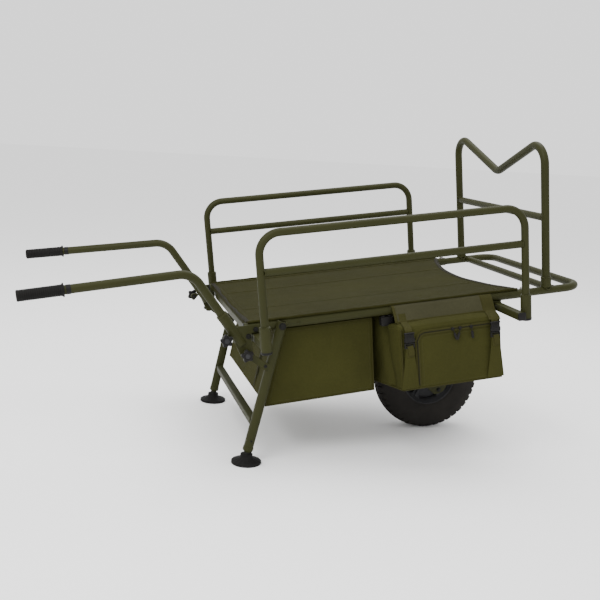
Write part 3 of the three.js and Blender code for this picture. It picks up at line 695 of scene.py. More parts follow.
# ---- handles ------------------------------------------------------------------------------------
for side, s in SIDES:
    handle = f"{side}_handle"
    up = axis_of(f"{side}_handle_lift")
    foot = end_ring(handle, -up)
    low, high = span(handle)
    tip = end_ring(handle, (-1, 0, 0))
    radius = HANDLE_RADIUS
    corner = foot + up * ((tip[2] - foot[2]) / up[2])
    path = route([foot, corner, tip], HANDLE_BEND, 20)
    add(handle + "_tube", pipe(path, radius), paint_olive, handle, handle)
    out = unit(tip - corner)
    profile = [(radius + 0.4, -130), (21.2, -130), (21.6, -129), (21.4, -126.6), (18.4, -125.6)]
    for k in range(20):
        d = -123 + k * 6
        profile += [(17.5, d), (17.5, d + 3.6), (16.3, d + 4.3), (16.3, d + 5.3)]
    profile += [(17.5, -2), (17.4, 3), (15.6, 5.6), (0.01, 6)]
    add(f"{side}_grip_sleeve", turned([(0.01, -129)] + profile, tip, out, 48), black_rubber,
        f"{side}_grip", f"{side}_grip", 28)
    band = [(radius + 0.05, -150), (radius + 0.9, -149.5), (radius + 0.9, -136.5), (radius + 0.05, -136)]
    add(f"{side}_grip_band", ring_turned(band, tip, out, 40), black_plastic, handle)

    bracket = f"{side}_handle_bracket"
    points = deck_points(bracket)
    along = (points - foot) @ up
    beside = np.hypot(*((points - foot) - np.outer(along, up))[:, [0, 1]].T)
    top_of_sleeve = points[np.abs(along - along[beside < 60].max()) < 1].mean(0)
    reach_up = (top_of_sleeve - foot) @ up
    sleeve = route([foot - up * 7, foot + up * reach_up])
    add(bracket + "_sleeve", pipe(sleeve, SLEEVE_RADIUS, 3.1, depth=4), paint_olive, bracket, bracket)
    lip = SLEEVE_RADIUS + 0.8
    collar = [(14.2, 0), (lip, 0), (lip, 5), (SLEEVE_RADIUS - 0.6, 8), (14.2, 8.4)]
    collar = ring_turned(collar, foot + up * (reach_up - 4), up, 48)
    add(bracket + "_collar", collar, paint_olive, bracket)
    plate_y = s * PLATE_Y
    outline = [(-84, -6), (-58, 8), (12, 8), (12, -18), (-17, -18), (-17, -60), (-16, -97), (-54, -97),
               (-66, -60)]
    add(bracket + "_plate", plate(outline, plate_y, plate_y + s * PLATE_THICKNESS), paint_olive, bracket, (),
        40)
    pinch, axis = add_knob(f"{side}_handle_knob", 28.0)
    lug_end = pinch - axis * 21
    back = unit(np.cross(up, (0, 1, 0)) * math.copysign(1, np.cross(up, (0, 1, 0))[2] * -1))
    root = lug_end - back * PINCH_REACH
    strap_path = route([root + back * 12, lug_end])
    lug = bar(strap_path, rounded(13, 13, 2), (0, 1, 0))
    eye = turned([(0.01, -7), (10.4, -7), (11, -6.3), (11, 6.3), (10.4, 7), (0.01, 7)], lug_end, (0, 1, 0),
                 40)
    add(bracket + "_lug", together(lug, eye), paint_olive, bracket)
    add(bracket + "_lug_nut", hex_head(lug_end - axis * 7, -axis, 10, 6), dark_steel, bracket)
    for k, (x, z) in enumerate(((-27, -28), (-2, -8))):
        add(f"{bracket}_bolt_{k}", hex_head((x, plate_y + s * PLATE_THICKNESS, z), (0, s, 0), 11, 5),
            dark_steel, bracket)

# ---- legs ---------------------------------------------------------------------------------------
for side, s in SIDES:
    down = axis_of(f"{side}_leg_extend")
    leg = f"{side}_leg"
    foot_ball = (np.array(joint[f"{side}_foot_tilt"]["pos_m"]) - ORIGIN) @ AXES.T * 1000
    pivot = np.array([LEG_PIVOT[0], s * LEG_Y, LEG_PIVOT[2]])
    top, bottom = pivot - down * LEG_TOP, pivot + down * LEG_LENGTH
    points, faces = pipe(route([top, bottom]), LEG_RADIUS, 3.2, depth=30)
    flat = s * (side_y + side_radius + 0.35)
    near_top = (points - pivot) @ down < 52
    inside = near_top & (points[:, 1] * s < flat * s)
    points[inside, 1] = flat
    add(leg + "_tube", (points, faces), paint_olive, leg, leg)
    collar = [(11.4, -4), (16.7, -4), (17.3, -3), (17.3, 7), (15.4, 10), (11.4, 10.4)]
    add(leg + "_collar", ring_turned(collar, bottom, down, 48), paint_olive, leg)
    add(leg + "_spring_pin", turned([(0.01, 0), (3.4, 0), (3.2, 2.4), (1.8, 3.4), (0.01, 3.6)],
                                    pivot + down * 396 + np.array([0, s * 15.6, 0]), (0, s, 0), 24),
                                    dark_steel, leg)
    inner = f"{side}_inner_leg"
    upper = foot_ball - down * 228
    add(inner + "_tube", bar(route([upper, foot_ball - down * 9]), circle(INNER_LEG_RADIUS)), paint_olive,
        inner, inner)
    ball = [(0.01, -13)] + [(13 * math.sin(a), -13 * math.cos(a))
                            for a in np.linspace(0.1, math.pi - 0.1, 18)] + [(0.01, 13)]
    add(inner + "_ball", turned(ball, foot_ball, down), dark_steel, inner)
    ribs = foot_ball - down * 27
    gaiter = [(11.2, 0), (14.6, 0.4), (14.6, 3)]
    for k in range(3):
        gaiter += [(12.6, 4.4 + 3.4 * k), (15.0, 6.0 + 3.4 * k)]
    gaiter += [(13, 15), (11.2, 15)]
    add(inner + "_gaiter", ring_turned(gaiter, ribs, down, 40), black_rubber, inner)

    bolt = f"{side}_leg_pivot_bolt"
    low, high = span(bolt)
    face = s * (max(abs(low[1]), abs(high[1])) - 6)
    at = np.array([(low[0] + high[0]) / 2, face, (low[2] + high[2]) / 2])
    shank = turned([(0.01, -36), (5.5, -36), (5.5, 0.5), (0.01, 0.5)], at, (0, s, 0), 24)
    add(bolt + "_head", together(hex_head(at, (0, s, 0), 15, 5.6), shank), dark_steel, bolt, bolt)

    strut = f"{side}_lock_strut"
    low, high = span(strut)
    along = unit(STRUT_FOOT - STRUT_TOP)
    wide = np.array([-along[1], along[0]])
    ends = [STRUT_TOP - along * 11, STRUT_FOOT + along * 8]
    outline = [ends[0] - wide * 9, ends[0] + wide * 9, ends[1] + wide * 12, ends[1] - wide * 12]
    add(strut + "_plate", plate(outline, low[1], high[1], 6), paint_olive, strut, strut, 40)
    add_knob(f"{side}_leg_lock_knob", 14.0)
    rivet = STRUT_FOOT - along * 4
    at = np.array([rivet[0], s * max(abs(low[1]), abs(high[1])), rivet[1]])
    add(strut + "_rivet", stud(at, (0, s, 0), 5.5), dark_steel, strut)

low, high = span("leg_brace")
middle, size = (low + high) / 2, high[0] - low[0]
ends = [np.array([middle[0], y, middle[2]]) for y in (low[1] - 1.2, high[1] + 1.2)]
add("leg_brace_tube", pipe(route(ends), size / 2, 2.0, square_tube(size), up=(1, 0, 0)),
    paint_olive, "leg_brace", "leg_brace")
for side, s in SIDES:
    outline = rounded(size + 1.6, size + 1.6, 3, 10)
    curve = np.column_stack([outline[:, 0], np.zeros(len(outline)), outline[:, 1]])
    curve[:, 1] = s * (np.sqrt(17.2 ** 2 - (outline[:, 0] * 0.98) ** 2) * -1 + 1)
    leg_line = np.array([LEG_PIVOT[0], s * LEG_Y, LEG_PIVOT[2]]) + axis_of(f"{side}_leg_extend") * BRACE_ALONG
    add(f"{side}_brace_weld", bead(curve + leg_line, 2.1), paint_olive, "leg_brace")


# ---- feet ---------------------------------------------------------------------------------------
def foot_shape(at):
    """A round foot: a scalloped tread, a ribbed dome and a cup; heights in millimetres above the ground.
    The outline of a level is R·(1 + d·cos 16a)."""
    levels = [(0.02, 0.0, 0), (40, 0.0, 0), (42, 1.6, 0), (45, 1.6, 0), (46.5, 0.0, 0), (48.6, 0.3, 0.006),
              (50, 2.2, 0.014), (50, 7.4, 0.014), (48.8, 9.2, 0.010), (46, 10.2, 0.004), (36, 13.4, 0.03),
              (27, 17.0, 0.03), (22.5, 19.6, 0), (20.6, 22.5, 0), (20.2, 29, 0), (19.6, 32, 0), (17.8, 33, 0),
              (15.2, 32.6, 0), (14.3, 29.5, 0), (0.02, 15.6, 0)]
    a = np.arange(144) * 2 * math.pi / 144
    rings = []
    for radius, height, depth in levels:
        r = radius * (1 - depth + depth * np.cos(16 * a))
        rings.append(np.stack([at[0] + r * np.cos(a), at[1] + r * np.sin(a), np.full(144, height)], 1))
    return stack(rings)


for side, s in SIDES:
    ball = np.array(joint[f"{side}_foot_tilt"]["pos_m"]) * 1000
    points, faces = foot_shape(ball)
    points = (points / 1000 - ORIGIN) @ AXES.T * 1000
    add(f"{side}_foot_pad", (points, faces), black_rubber, f"{side}_foot", f"{side}_foot", 30)

# ---- wheel --------------------------------------------------------------------------------------
hub = (np.array(joint["wheel_spin"]["pos_m"]) - ORIGIN) @ AXES.T * 1000
AXLE = (0, 1, 0)


def wheel_point(radius, angle, across):
    radius, angle, across = np.broadcast_arrays(radius, angle, across)
    return np.stack([hub[0] + radius * np.cos(angle), hub[1] + across, hub[2] + radius * np.sin(angle)], -1)


def tyre_shape(count=960):
    """A tyre: its section runs from bead to bead over the tread, and back inside. On the tread the radius
    drops by the groove depth where the pattern is open: a zigzag centre groove, two rows of slanted
    side grooves, and notches that cut the shoulders into blocks. A plain ridge runs round each side."""
    half = [(102, 32), (103.5, 38), (107, 41.5), (113, 43.5), (124, 45.6), (138, 47.0), (150, 47.5),
            (162, 46.8), (172, 45.2), (180, 43.0), (185, 41.0), (187.5, 40.6), (190.5, 39.0), (192.4, 37.0),
            (193.6, 34.6), (194.8, 32), (195.8, 29), (196.7, 26), (197.4, 23), (198.0, 20), (198.5, 17),
            (198.9, 14), (199.2, 11), (199.4, 8), (199.5, 5), (199.6, 2.4)]
    outer = np.array(half + [(r, -y) for r, y in half[::-1]], float)
    inner = np.array([(106, -28), (150, -38), (186, -30), (191, 0), (186, 30), (150, 38), (106, 28)], float)
    section = np.concatenate([outer, inner])
    angle = np.arange(count)[:, None] * 2 * math.pi / count
    radius, across = section[:, 0][None], section[:, 1][None]
    blocks = 44
    phase = angle * blocks / (2 * math.pi)
    side = np.abs(across)
    slant = phase + 0.35 * np.sign(across) * side / 40
    open_side = np.abs((slant % 1.0) - 0.5) > 0.34
    centre = np.abs(across - 4.5 * (2 * np.abs((phase % 1.0) - 0.5) - 0.5) * 2) < 2.6
    ring = (side > 22.5) & (side < 25.5)
    tread = (radius > 184) & (np.arange(len(section))[None] < len(outer))
    shoulder = side > 24
    open_centre = (np.abs(((phase + 0.5 + 0.2 * side / 22) % 1.0) - 0.5) > 0.38) & (side < 22.5) & (side > 4)
    depth = np.where(tread & (centre | ring | (open_side & shoulder) | open_centre), 5.0, 0.0)
    side_ridge = np.where((radius > 128) & (radius < 131), 0.7, 0.0)
    points = wheel_point(radius - depth, angle, across + np.sign(across) * side_ridge)
    return stack(points, loop=True)


add("tyre_skin", tyre_shape(), tyre_rubber, "tyre", "tyre", 40)
barrel = [(96, 30), (99.5, 34), (101.5, 38), (105.5, 39.6), (107, 38.6), (106.8, 37), (103, 35), (101.6, 30)]
ring = barrel + [(100.5, 20), (100.5, -20)] + [(r, -y) for r, y in barrel[::-1]]
ring += [(92, -26), (88, -14), (88, 14), (92, 26)]
add("rim_barrel", ring_turned(ring, hub, AXLE, 144), rim_plastic, "rim", "rim", 30)
hub_ring = [(17.8, -32), (24.5, -32), (26, -30.6), (26.6, -16), (31, -9), (31, 9), (26.6, 16), (26, 30.6),
            (24.5, 32), (17.8, 32)]
add("rim_hub", ring_turned(hub_ring, hub, AXLE, 72), rim_plastic, "rim", (), 30)
web = [(24, -4), (60, -5), (99, -4), (99, 4), (60, 5), (24, 4)]
add("rim_web", ring_turned(web, hub, AXLE, 144), rim_plastic, "rim", (), 30)


def spoke(angle):
    """A spoke: a box section that widens towards the barrel, with a rib down its middle on both faces."""
    rings = []
    for radius, width, thick, rib in ((24, 11, 22, 25), (34, 8.5, 18, 26), (52, 8, 16, 25), (72, 10, 17, 25),
                                      (84, 16, 22, 26), (90.5, 24, 27, 28)):
        near = [(-width, -thick), (-3, -thick), (-2, -rib), (2, -rib), (3, -thick), (width, -thick)]
        outline = np.array(near + [(x, -y) for x, y in near[::-1]], float)
        outline[:, 1] *= 0.92
        local = np.column_stack([np.full(12, float(radius)), outline[:, 0]])
        turn = np.array([[math.cos(angle), math.sin(angle)], [-math.sin(angle), math.cos(angle)]])
        flat = local @ turn
        rings.append(np.column_stack([hub[0] + flat[:, 0], hub[1] + outline[:, 1], hub[2] + flat[:, 1]]))
    return stack(rings)


spokes = together(*[spoke(k * 2 * math.pi / 5 + 0.3) for k in range(5)])
add("rim_spokes", spokes, rim_plastic, "rim", (), 30)
valve = wheel_point(np.array(90.0), np.array(-1.25), np.array(24.0))
inward = unit(hub - valve)
add("tyre_valve", turned([(0.01, -2), (4.2, -2), (4.2, 9), (3, 10), (3, 20), (3.8, 20), (3.8, 27),
                          (3.0, 28.5), (0.01, 28.5)],
                         valve, (inward[0], 0.0, inward[2]), 24), black_rubber, "rim")

reach = span("axle")[1][1]
axle_parts = [turned([(0.01, -reach), (6.7, -reach), (7.5, -reach + 1), (7.5, reach - 1), (6.7, reach),
                      (0.01, reach)], hub, AXLE, 36)]
for s in (1, -1):
    axle_parts.append(turned([(0.01, s * 32.3), (11, s * 32.3), (11, s * 56.6), (0.01, s * 56.6)], hub, AXLE,
                             36))
add("axle_rod", together(*axle_parts), zinc_steel, "axle", "axle")
for side, s in SIDES:
    node = f"{side}_bearing"
    race = [(8, 21), (17.4, 21), (17.4, 31.4), (16.4, 32), (14.6, 32), (14.2, 31.2), (11.2, 31.2), (10.8, 32),
            (8.6, 32), (8, 31.4)]
    race = [(r, s * d) for r, d in race]
    add(node + "_race", ring_turned(race, hub, AXLE, 60), zinc_steel, node, node)
    node = f"{side}_axle_nut"
    low, high = span(node)
    seat = s * min(abs(low[1]), abs(high[1]))
    at = np.array([hub[0], seat, hub[2]])
    nut = turned([(0.01, 1.8), (13.8, 1.8), (13.8, 9.2), (12, 10.6), (0.01, 10.6)], at, (0, s, 0), 48,
                 hexagon)
    washer = turned([(0.01, 0), (17, 0), (17, 1.9), (0.01, 1.9)], at, (0, s, 0), 40)
    add(node + "_hex", together(nut, washer), dark_steel, node, node)

    node = f"{side}_fork_arm"
    low, high = span(node)
    y = s * FORK_Y
    cross_z = high[2]
    corners = [(FORK_FEET[0], y, cross_z), (hub[0], y, FORK_CORNER), (FORK_FEET[1], y, cross_z)]
    add(node + "_tube", pipe(route(corners, FORK_BEND, 18), FORK_RADIUS), paint_olive, node, node)
    outline = [(672, -318), (742, -318), (765, -392), (748, -414), (715, -422), (690, -396)]
    add(node + "_plate", plate(outline, y - 2.5, y + 2.5, 8), paint_olive, node, (), 40)
    for k, (x, z) in enumerate(((731, -404.6), (748, -386))):
        add(f"{node}_bolt_{k}", hex_head((x, y + s * 2.5, z), (0, s, 0), 11 - 2 * k, 6), dark_steel, node)
    for k, x in enumerate(FORK_FEET):
        add(f"{node}_foot_{k}", slab((x - 20, y - 15, cross_z - 1), (x + 20, y + 15, cross_z + 4), 1.5),
            paint_olive, node)
        for j, offset in enumerate((-14.0, 14.0)):
            if (k == 0) == (j == 0):
                add(f"{node}_foot_bolt_{k}{j}", hex_head((x + offset, y, cross_z - 1), (0, 0, -1), 8, 4),
                    dark_steel, node)

# ---- front extension and V frame ----------------------------------------------------------------
low, high = span("extension_tube")
radius = EXTENSION_RADIUS
front = high[0] - radius
corners = [(low[0], side_y, side_tube_z), (front, side_y, side_tube_z), (front, -side_y, side_tube_z),
           (low[0], -side_y, side_tube_z)]
add("extension_loop", pipe(route(corners, EXTENSION_BEND, 20), radius), paint_olive, "extension_tube",
    "extension_tube")
start, end, _ = tube_between("extension_cross_bar", 1)
add("extension_cross_tube", pipe(route([start, end]), CROSS_BAR_RADIUS), paint_olive, "extension_cross_bar",
    "extension_cross_bar")
for side, s in SIDES:
    add(f"{side}_extension_weld",
        weld((start[0], s * side_y, side_tube_z), (0, -s, 0), 12.6, (radius, (1, 0, 0))),
        paint_olive, "extension_cross_bar")
low, high = span("v_frame")
v_x = (low[0] + high[0]) / 2
v_y = high[1] - V_RADIUS * COS_FACET
for side, s in SIDES:
    socket = route([(v_x, s * v_y, side_tube_z + radius - 2), (v_x, s * v_y, 40)])
    add(f"{side}_v_socket", pipe(socket, 17.5, 2.8, depth=24), paint_olive, "extension_tube")
    collar = [(14.4, 0), (18.2, 0), (18.2, 1.6), (15.6, 3.4), (14.4, 3.4)]
    collar = ring_turned(collar, (v_x, s * v_y, 40), (0, 0, 1), 48)
    add(f"{side}_v_collar", collar, paint_olive, "extension_tube")
    add(f"{side}_v_weld", weld((v_x, s * v_y, side_tube_z), (0, 0, 1), 17.4, (radius + 4.4, (1, 0, 0))),
        paint_olive, "extension_tube")
corners = [(v_x, v_y, low[2]), (v_x, v_y, V_SHOULDER), (v_x, 0, V_DIP), (v_x, -v_y, V_SHOULDER),
           (v_x, -v_y, low[2])]
add("v_frame_tube", pipe(route(corners, V_BEND, 20), V_RADIUS, depth=18), paint_olive, "v_frame", "v_frame")
start, end, _ = tube_between("v_frame_cross_bar", 1)
add("v_frame_cross_tube", pipe(route([start, end]), CROSS_BAR_RADIUS), paint_olive, "v_frame_cross_bar",
    "v_frame_cross_bar")
for side, s in SIDES:
    add(f"{side}_v_bar_weld", weld((v_x, s * v_y, start[2]), (0, -s, 0), 12.6, (14.0, (0, 0, 1))),
        paint_olive, "v_frame_cross_bar")


# ---- cloth helpers ------------------------------------------------------------------------------
def upward(points, faces):
    """The faces of an open sheet, turned round if its first one looks down."""
    a, b, d = (points[faces[0][k]] for k in (0, 1, 3))
    return [face[::-1] for face in faces] if np.cross(b - a, d - a)[2] < 0 else faces


def folds(points, wavelength, count=6, seed=3):
    """A creased field from 0 to 1: the mean over a few directions of (1 - |sin(k·p + phase)|)²."""
    local = np.random.default_rng(seed)
    total = np.zeros(len(points))
    for _ in range(count):
        k = local.normal(size=3)
        k *= math.pi / wavelength / np.linalg.norm(k) * local.uniform(0.6, 1.5)
        total += (1 - np.abs(np.sin(points @ k + local.uniform(0, 6.28)))) ** 2
    return total / count


def lay_threads(piece):
    """UV in metres on each side of a piece: the two deck axes square to a face's main direction."""
    mesh = piece.data
    points = np.empty(len(mesh.vertices) * 3)
    mesh.vertices.foreach_get("co", points)
    points = (points.reshape(-1, 3) - ORIGIN) @ AXES.T
    corners = np.empty(len(mesh.loops), np.int32)
    mesh.loops.foreach_get("vertex_index", corners)
    normals = np.empty(len(mesh.polygons) * 3)
    mesh.polygons.foreach_get("normal", normals)
    sizes = np.empty(len(mesh.polygons), np.int32)
    mesh.polygons.foreach_get("loop_total", sizes)
    main = np.repeat(np.abs(normals.reshape(-1, 3) @ AXES.T).argmax(1), sizes)
    first, second = np.array([1, 0, 0])[main], np.array([2, 2, 1])[main]
    rows = np.arange(len(corners))
    where = points[corners]
    uv = np.stack([where[rows, first], where[rows, second]], 1)
    mesh.uv_layers.new(name="UVMap").data.foreach_set("uv", uv.ravel())
    return piece


def soft_box(hull, half, corner=16.0, cells=44):
    """A filled cloth box: q = c·h on a cube's skin, p = inner + R·(q - inner)/|q - inner| rounds its edges,
    and hull carries p/h, each part from -1 to 1, to its place."""
    half = np.array(half, float)
    t = np.linspace(-1, 1, cells + 1)
    t = 0.45 * t + 0.55 * np.sin(t * math.pi / 2)
    a, b = (grid.ravel() for grid in np.meshgrid(t, t, indexing="ij"))
    skins, faces = [], []
    for axis in range(3):
        for sign in (-1.0, 1.0):
            c = np.zeros((len(a), 3))
            c[:, axis], c[:, (axis + 1) % 3], c[:, (axis + 2) % 3] = sign, a, b
            grid = np.array(lattice(cells + 1, cells + 1, False)) + len(skins) * len(a)
            faces.append(grid if sign > 0 else grid[:, ::-1])
            skins.append(c)
    cube, faces = np.concatenate(skins), np.concatenate(faces)
    _, first, back = np.unique(np.round(cube, 6), axis=0, return_index=True, return_inverse=True)
    cube, faces = cube[first], back.ravel()[faces]
    q = cube * half
    inner = np.clip(q, corner - half, half - corner)
    away = q - inner
    p = inner + corner * away / np.linalg.norm(away, axis=1)[:, None]
    return hull(p / half), cube, faces.tolist()


def bilinear(s, t, corners):
    """A point inside four corners: (-1,-1), (1,-1), (1,1), (-1,1)."""
    a, b, c, d = (np.array(corner, float) for corner in corners)
    s, t = (s[:, None] + 1) / 2, (t[:, None] + 1) / 2
    return (1 - s) * (1 - t) * a + s * (1 - t) * b + s * t * c + (1 - s) * t * d


def tape(path, width, thickness, across):
    """Woven tape along a path, with its UV across and along in metres."""
    points, _ = path
    outline = rounded(width, thickness, thickness * 0.45, 4)
    last = len(points) - 1
    rings = rings_on(path, [(k, 0, outline) for k in range(last + 1)], across)
    length = np.concatenate([[0], np.cumsum(np.linalg.norm(np.diff(points, axis=0), axis=1))]) / 1000
    uv = np.stack(np.broadcast_arrays(outline[None, :, 0] / 1000, length[:, None]), -1).reshape(-1, 2)
    return stack(rings), uv


def lay_tape(name, path, width, thickness, across, material, on):
    made, uv = tape(path, width, thickness, across)
    return add(name, made, material, on, (), 50, uv)


def add_tape(name, points, width, thickness, across, material, on, count=50):
    return lay_tape(name, smooth(points, count), width, thickness, across, material, on)


def scattered(template, faces, centres, u, v, w):
    """Copies of a small solid at many centres, each turned to its own three axes."""
    template = np.asarray(template, float)
    points = centres[:, None] + (template[None, :, :1] * u[:, None] + template[None, :, 1:2] * v[:, None]
                                 + template[None, :, 2:] * w[:, None])
    count = len(template)
    every = [[k + n * count for k in face] for n in range(len(centres)) for face in faces]
    return points.reshape(-1, 3), every


BLOCK = [(x, y, z) for x in (-0.5, 0.5) for y in (-0.5, 0.5) for z in (-0.5, 0.5)]
BLOCK_FACES = [[0, 1, 3, 2], [4, 6, 7, 5], [0, 4, 5, 1], [2, 3, 7, 6], [0, 2, 6, 4], [1, 5, 7, 3]]
SEED = [(-0.5, 0, 0), (0.5, 0, 0), (0, -0.5, 0), (0, 0.5, 0), (0, 0, -0.5), (0, 0, 0.5)]
SEED_FACES = [[0, 4, 2], [0, 2, 5], [0, 5, 3], [0, 3, 4], [1, 2, 4], [1, 5, 2], [1, 3, 5], [1, 4, 3]]


def spaced(points, pitch):
    """Places every pitch along a line, with the line's direction at each."""
    points = np.asarray(points, float)
    length = np.concatenate([[0], np.cumsum(np.linalg.norm(np.diff(points, axis=0), axis=1))])
    at = np.arange(pitch / 2, length[-1], pitch)
    places = np.stack([np.interp(at, length, points[:, k]) for k in range(3)], 1)
    ahead = np.stack([np.interp(at + 0.5, length, points[:, k]) for k in range(3)], 1)
    behind = np.stack([np.interp(at - 0.5, length, points[:, k]) for k in range(3)], 1)
    direction = ahead - behind
    return places, direction / np.linalg.norm(direction, axis=1)[:, None]


def stitches(name, line, out, on, pitch=4.6):
    """A row of thread stitches along a line, lying on the side that out points to."""
    places, along = spaced(line, pitch)
    out = np.broadcast_to(np.asarray(out, float), along.shape)
    side = np.cross(along, out)
    made = scattered(SEED, SEED_FACES, places + out * 0.3, along * pitch * 0.72, side * 0.9, out * 0.8)
    return add(name, made, thread, on, (), 80)


def zipper(name, line, out, on, width=16.0):
    """A coil zip: a tape with two rows of teeth that mesh along its middle."""
    line = np.asarray(line, float)
    out = unit(out)
    path = smooth(line, 70)
    across = np.cross(path[1][0], out)
    lay_tape(name + "_tape", (path[0] + out * 0.4, path[1]), width, 1.0, across, tape_olive, on)
    places, along = spaced(path[0], 1.7)
    side = np.cross(along, out) * np.where(np.arange(len(places)) % 2, 1.0, -1.0)[:, None]
    made = scattered(BLOCK, BLOCK_FACES, places + out * 1.5 + side * 0.8, along * 1.1, side * 2.4,
                     np.broadcast_to(out, along.shape) * 1.5)
    return add(name + "_teeth", made, black_plastic, on, (), 60)


def puller(name, at, out, down, on, lean=0.0):
    """A zip slider with a short cord loop and a moulded pull."""
    at, out, down = np.array(at, float), unit(out), unit(down)
    side = np.cross(out, down)
    hang_way = unit(down + side * lean)
    slider = scattered(BLOCK, BLOCK_FACES, (at + out * 3.0)[None], (side * 9)[None], (down * 10)[None],
                       (out * 4)[None])
    cord_path = smooth([at + out * 5, at + out * 7 + hang_way * 7, at + out * 6 + hang_way * 16], 14)
    cord = bar(cord_path, circle(1.3, 10), side)
    tip = at + out * 6 + hang_way * 15
    grip = bar(smooth([tip, tip + hang_way * 10, tip + hang_way * 24], 16), rounded(8.5, 5.0, 2.2, 4), side,
               1.5)
    return add(name, together(slider, cord, grip), black_plastic, on, (), 40)


def side_release(name, at, out, node):
    """A side-release buckle: a socket with a window on each side, a plug with a bar, and two prongs."""
    at, out = np.array(at, float), unit(out)
    x, y, z = at
    s = math.copysign(1, out[1])

    def block(x0, x1, z0, z1, y0, y1, corner=1.4):
        return slab((x + x0 * 1.13, y + s * y0, z + z0 * 1.13), (x + x1 * 1.13, y + s * y1, z + z1 * 1.13),
                    corner)

    parts = [block(-14, 14, -8, 17, 0.5, 8.6, 2.4), block(-15.8, 15.8, 16, 21.5, 0.8, 7.4, 2.2),
             block(-15.8, -12.6, -7, 5, 1.2, 8.0), block(12.6, 15.8, -7, 5, 1.2, 8.0),
             block(-13.5, 13.5, -12.5, -9.0, 1.0, 7.8), block(-15.5, -11.5, -25, -9, 1.0, 6.6),
             block(11.5, 15.5, -25, -9, 1.0, 6.6),
             block(-13, 13, -25, -21, 1.0, 6.8), block(-13, 13, -18.6, -15.4, 0.6, 5.6),
             block(-7, 7, -3, 11, 8.3, 9.4, 0.5)]
    return add(name, together(*parts), black_plastic, node, node, 40)


# ---- deck cloth ---------------------------------------------------------------------------------
low, high = span("deck_fabric")
rear_x, corner_x, half_y, cloth_z = low[0], high[0], high[1], low[2]
cloth_points = deck_points("deck_fabric")
middle_x = cloth_points[np.abs(cloth_points[:, 1]) < 20][:, 0].max()


def deck_height(x, y):
    """Taut between the side tubes: a shallow sag, less over the cross tubes, slack folds near the ends."""
    across = 1 - (y / half_y) ** 2
    near_ends = np.exp(-((x - rear_x) / 70) ** 2) + np.exp(-((corner_x - x) / 90) ** 2)
    ripple = 0.9 * np.sin(y / 31 + np.sin(x / 90)) * near_ends + 0.7 * np.sin(x / 95 + y / 160)
    diagonal = 1.1 * np.sin((x + y * 0.8) / 55) * np.exp(-((x - 120) / 110) ** 2 - ((y + 230) / 120) ** 2)
    return cloth_z + 1.3 - 6.5 * across ** 1.4 * (1 - 0.35 * near_ends) + (ripple
                                                                           + diagonal) * across ** 0.5 * 0.8


def deck_line(x, y, lift=0.0):
    x, y = np.broadcast_arrays(np.asarray(x, float), np.asarray(y, float))
    return np.stack([x, y, deck_height(x, y) + lift], -1)


def front_edge(y):
    return middle_x + (corner_x - middle_x) * (y / half_y) ** 2


along, across = np.meshgrid(np.linspace(0, 1, 121), np.linspace(-half_y, half_y, 101), indexing="ij")
grid_x = rear_x + along * (front_edge(across) - rear_x)
points = deck_line(grid_x, across).reshape(-1, 3)
deck_sheet = body_mesh("deck_cloth_sheet", points, upward(points, lattice(121, 101, False)), 60,
                       points[:, :2] / 1000, closed=False)
hang(deck_sheet, deck_cloth, "deck_fabric", "deck_fabric")
thick = deck_sheet.modifiers.new("thickness", "SOLIDIFY")
thick.thickness, thick.offset = 0.0012, 0.0


def deck_roll(name, path, radii, sides, up):
    """Deck cloth rolled round a line, with its own radius at each point of it."""
    rings = rings_on(path, [(k, 0, circle(radius, sides)) for k, radius in enumerate(radii)], up)
    return hang(lay_threads(body_mesh(name, *stack(rings), 60)), deck_cloth, "deck_fabric")


for side, s in SIDES:
    x = np.linspace(rear_x + 2, corner_x - 3, 60)
    line = deck_line(x, np.full(60, s * (half_y - 11)), 1.1)
    lay_tape(f"{side}_deck_hem", straight(line), 22, 1.0, (0, 1, 0), deck_cloth,
                              "deck_fabric")
    for k, inset in enumerate((2.5, 19.5)):
        line = deck_line(x, np.full(60, s * (half_y - inset)), 1.7)
        stitches(f"{side}_deck_stitch_{k}", line, (0, 0, 1), "deck_fabric")
    x = np.linspace(rear_x + 3, corner_x - 3, 120)
    roll_z = 14.3 + 0.3 * np.sin(x / 23) + 0.25 * np.sin(x / 9.7 + s)
    roll = np.column_stack([x, np.full(120, s * (side_y + 7.5)), roll_z])
    deck_roll(f"{side}_deck_rolled_hem", straight(roll), np.full(120, 4.0), 18, (0, 1, 0))
    for k, x in enumerate((140, 880)):
        rivet = stud((x, s * (side_y + side_radius - 0.4), side_tube_z + 1), (0, s, 0), 4.6)
        add(f"{side}_side_tube_rivet_{k}", rivet, paint_olive, f"{side}_side_tube")
    seam_y = s * 150
    x = np.linspace(rear_x + 12, front_edge(seam_y) - 12, 60)
    for k, offset in enumerate((-3.0, 3.0)):
        line = deck_line(x, seam_y + offset, 1.0)
        stitches(f"{side}_deck_seam_{k}", line, (0, 0, 1), "deck_fabric")
    fold = straight(deck_line(x, seam_y, 0.85))
    lay_tape(f"{side}_deck_seam_fold", fold, 12, 0.7, (0, 1, 0), deck_cloth, "deck_fabric")
rear_start, _, _ = tube_between("rear_deck_tube", 1)
y = np.linspace(-side_y + 22, side_y - 22, 80)
wrap = np.column_stack([np.full(80, rear_start[0]), y, np.full(80, rear_start[2])])
deck_roll("deck_rear_sleeve", straight(wrap, (0, 1, 0)), 14.6 + 0.3 * np.sin(y / 17), 36,
                           (1, 0, 0))
y = np.linspace(-half_y + 1, half_y - 1, 80)
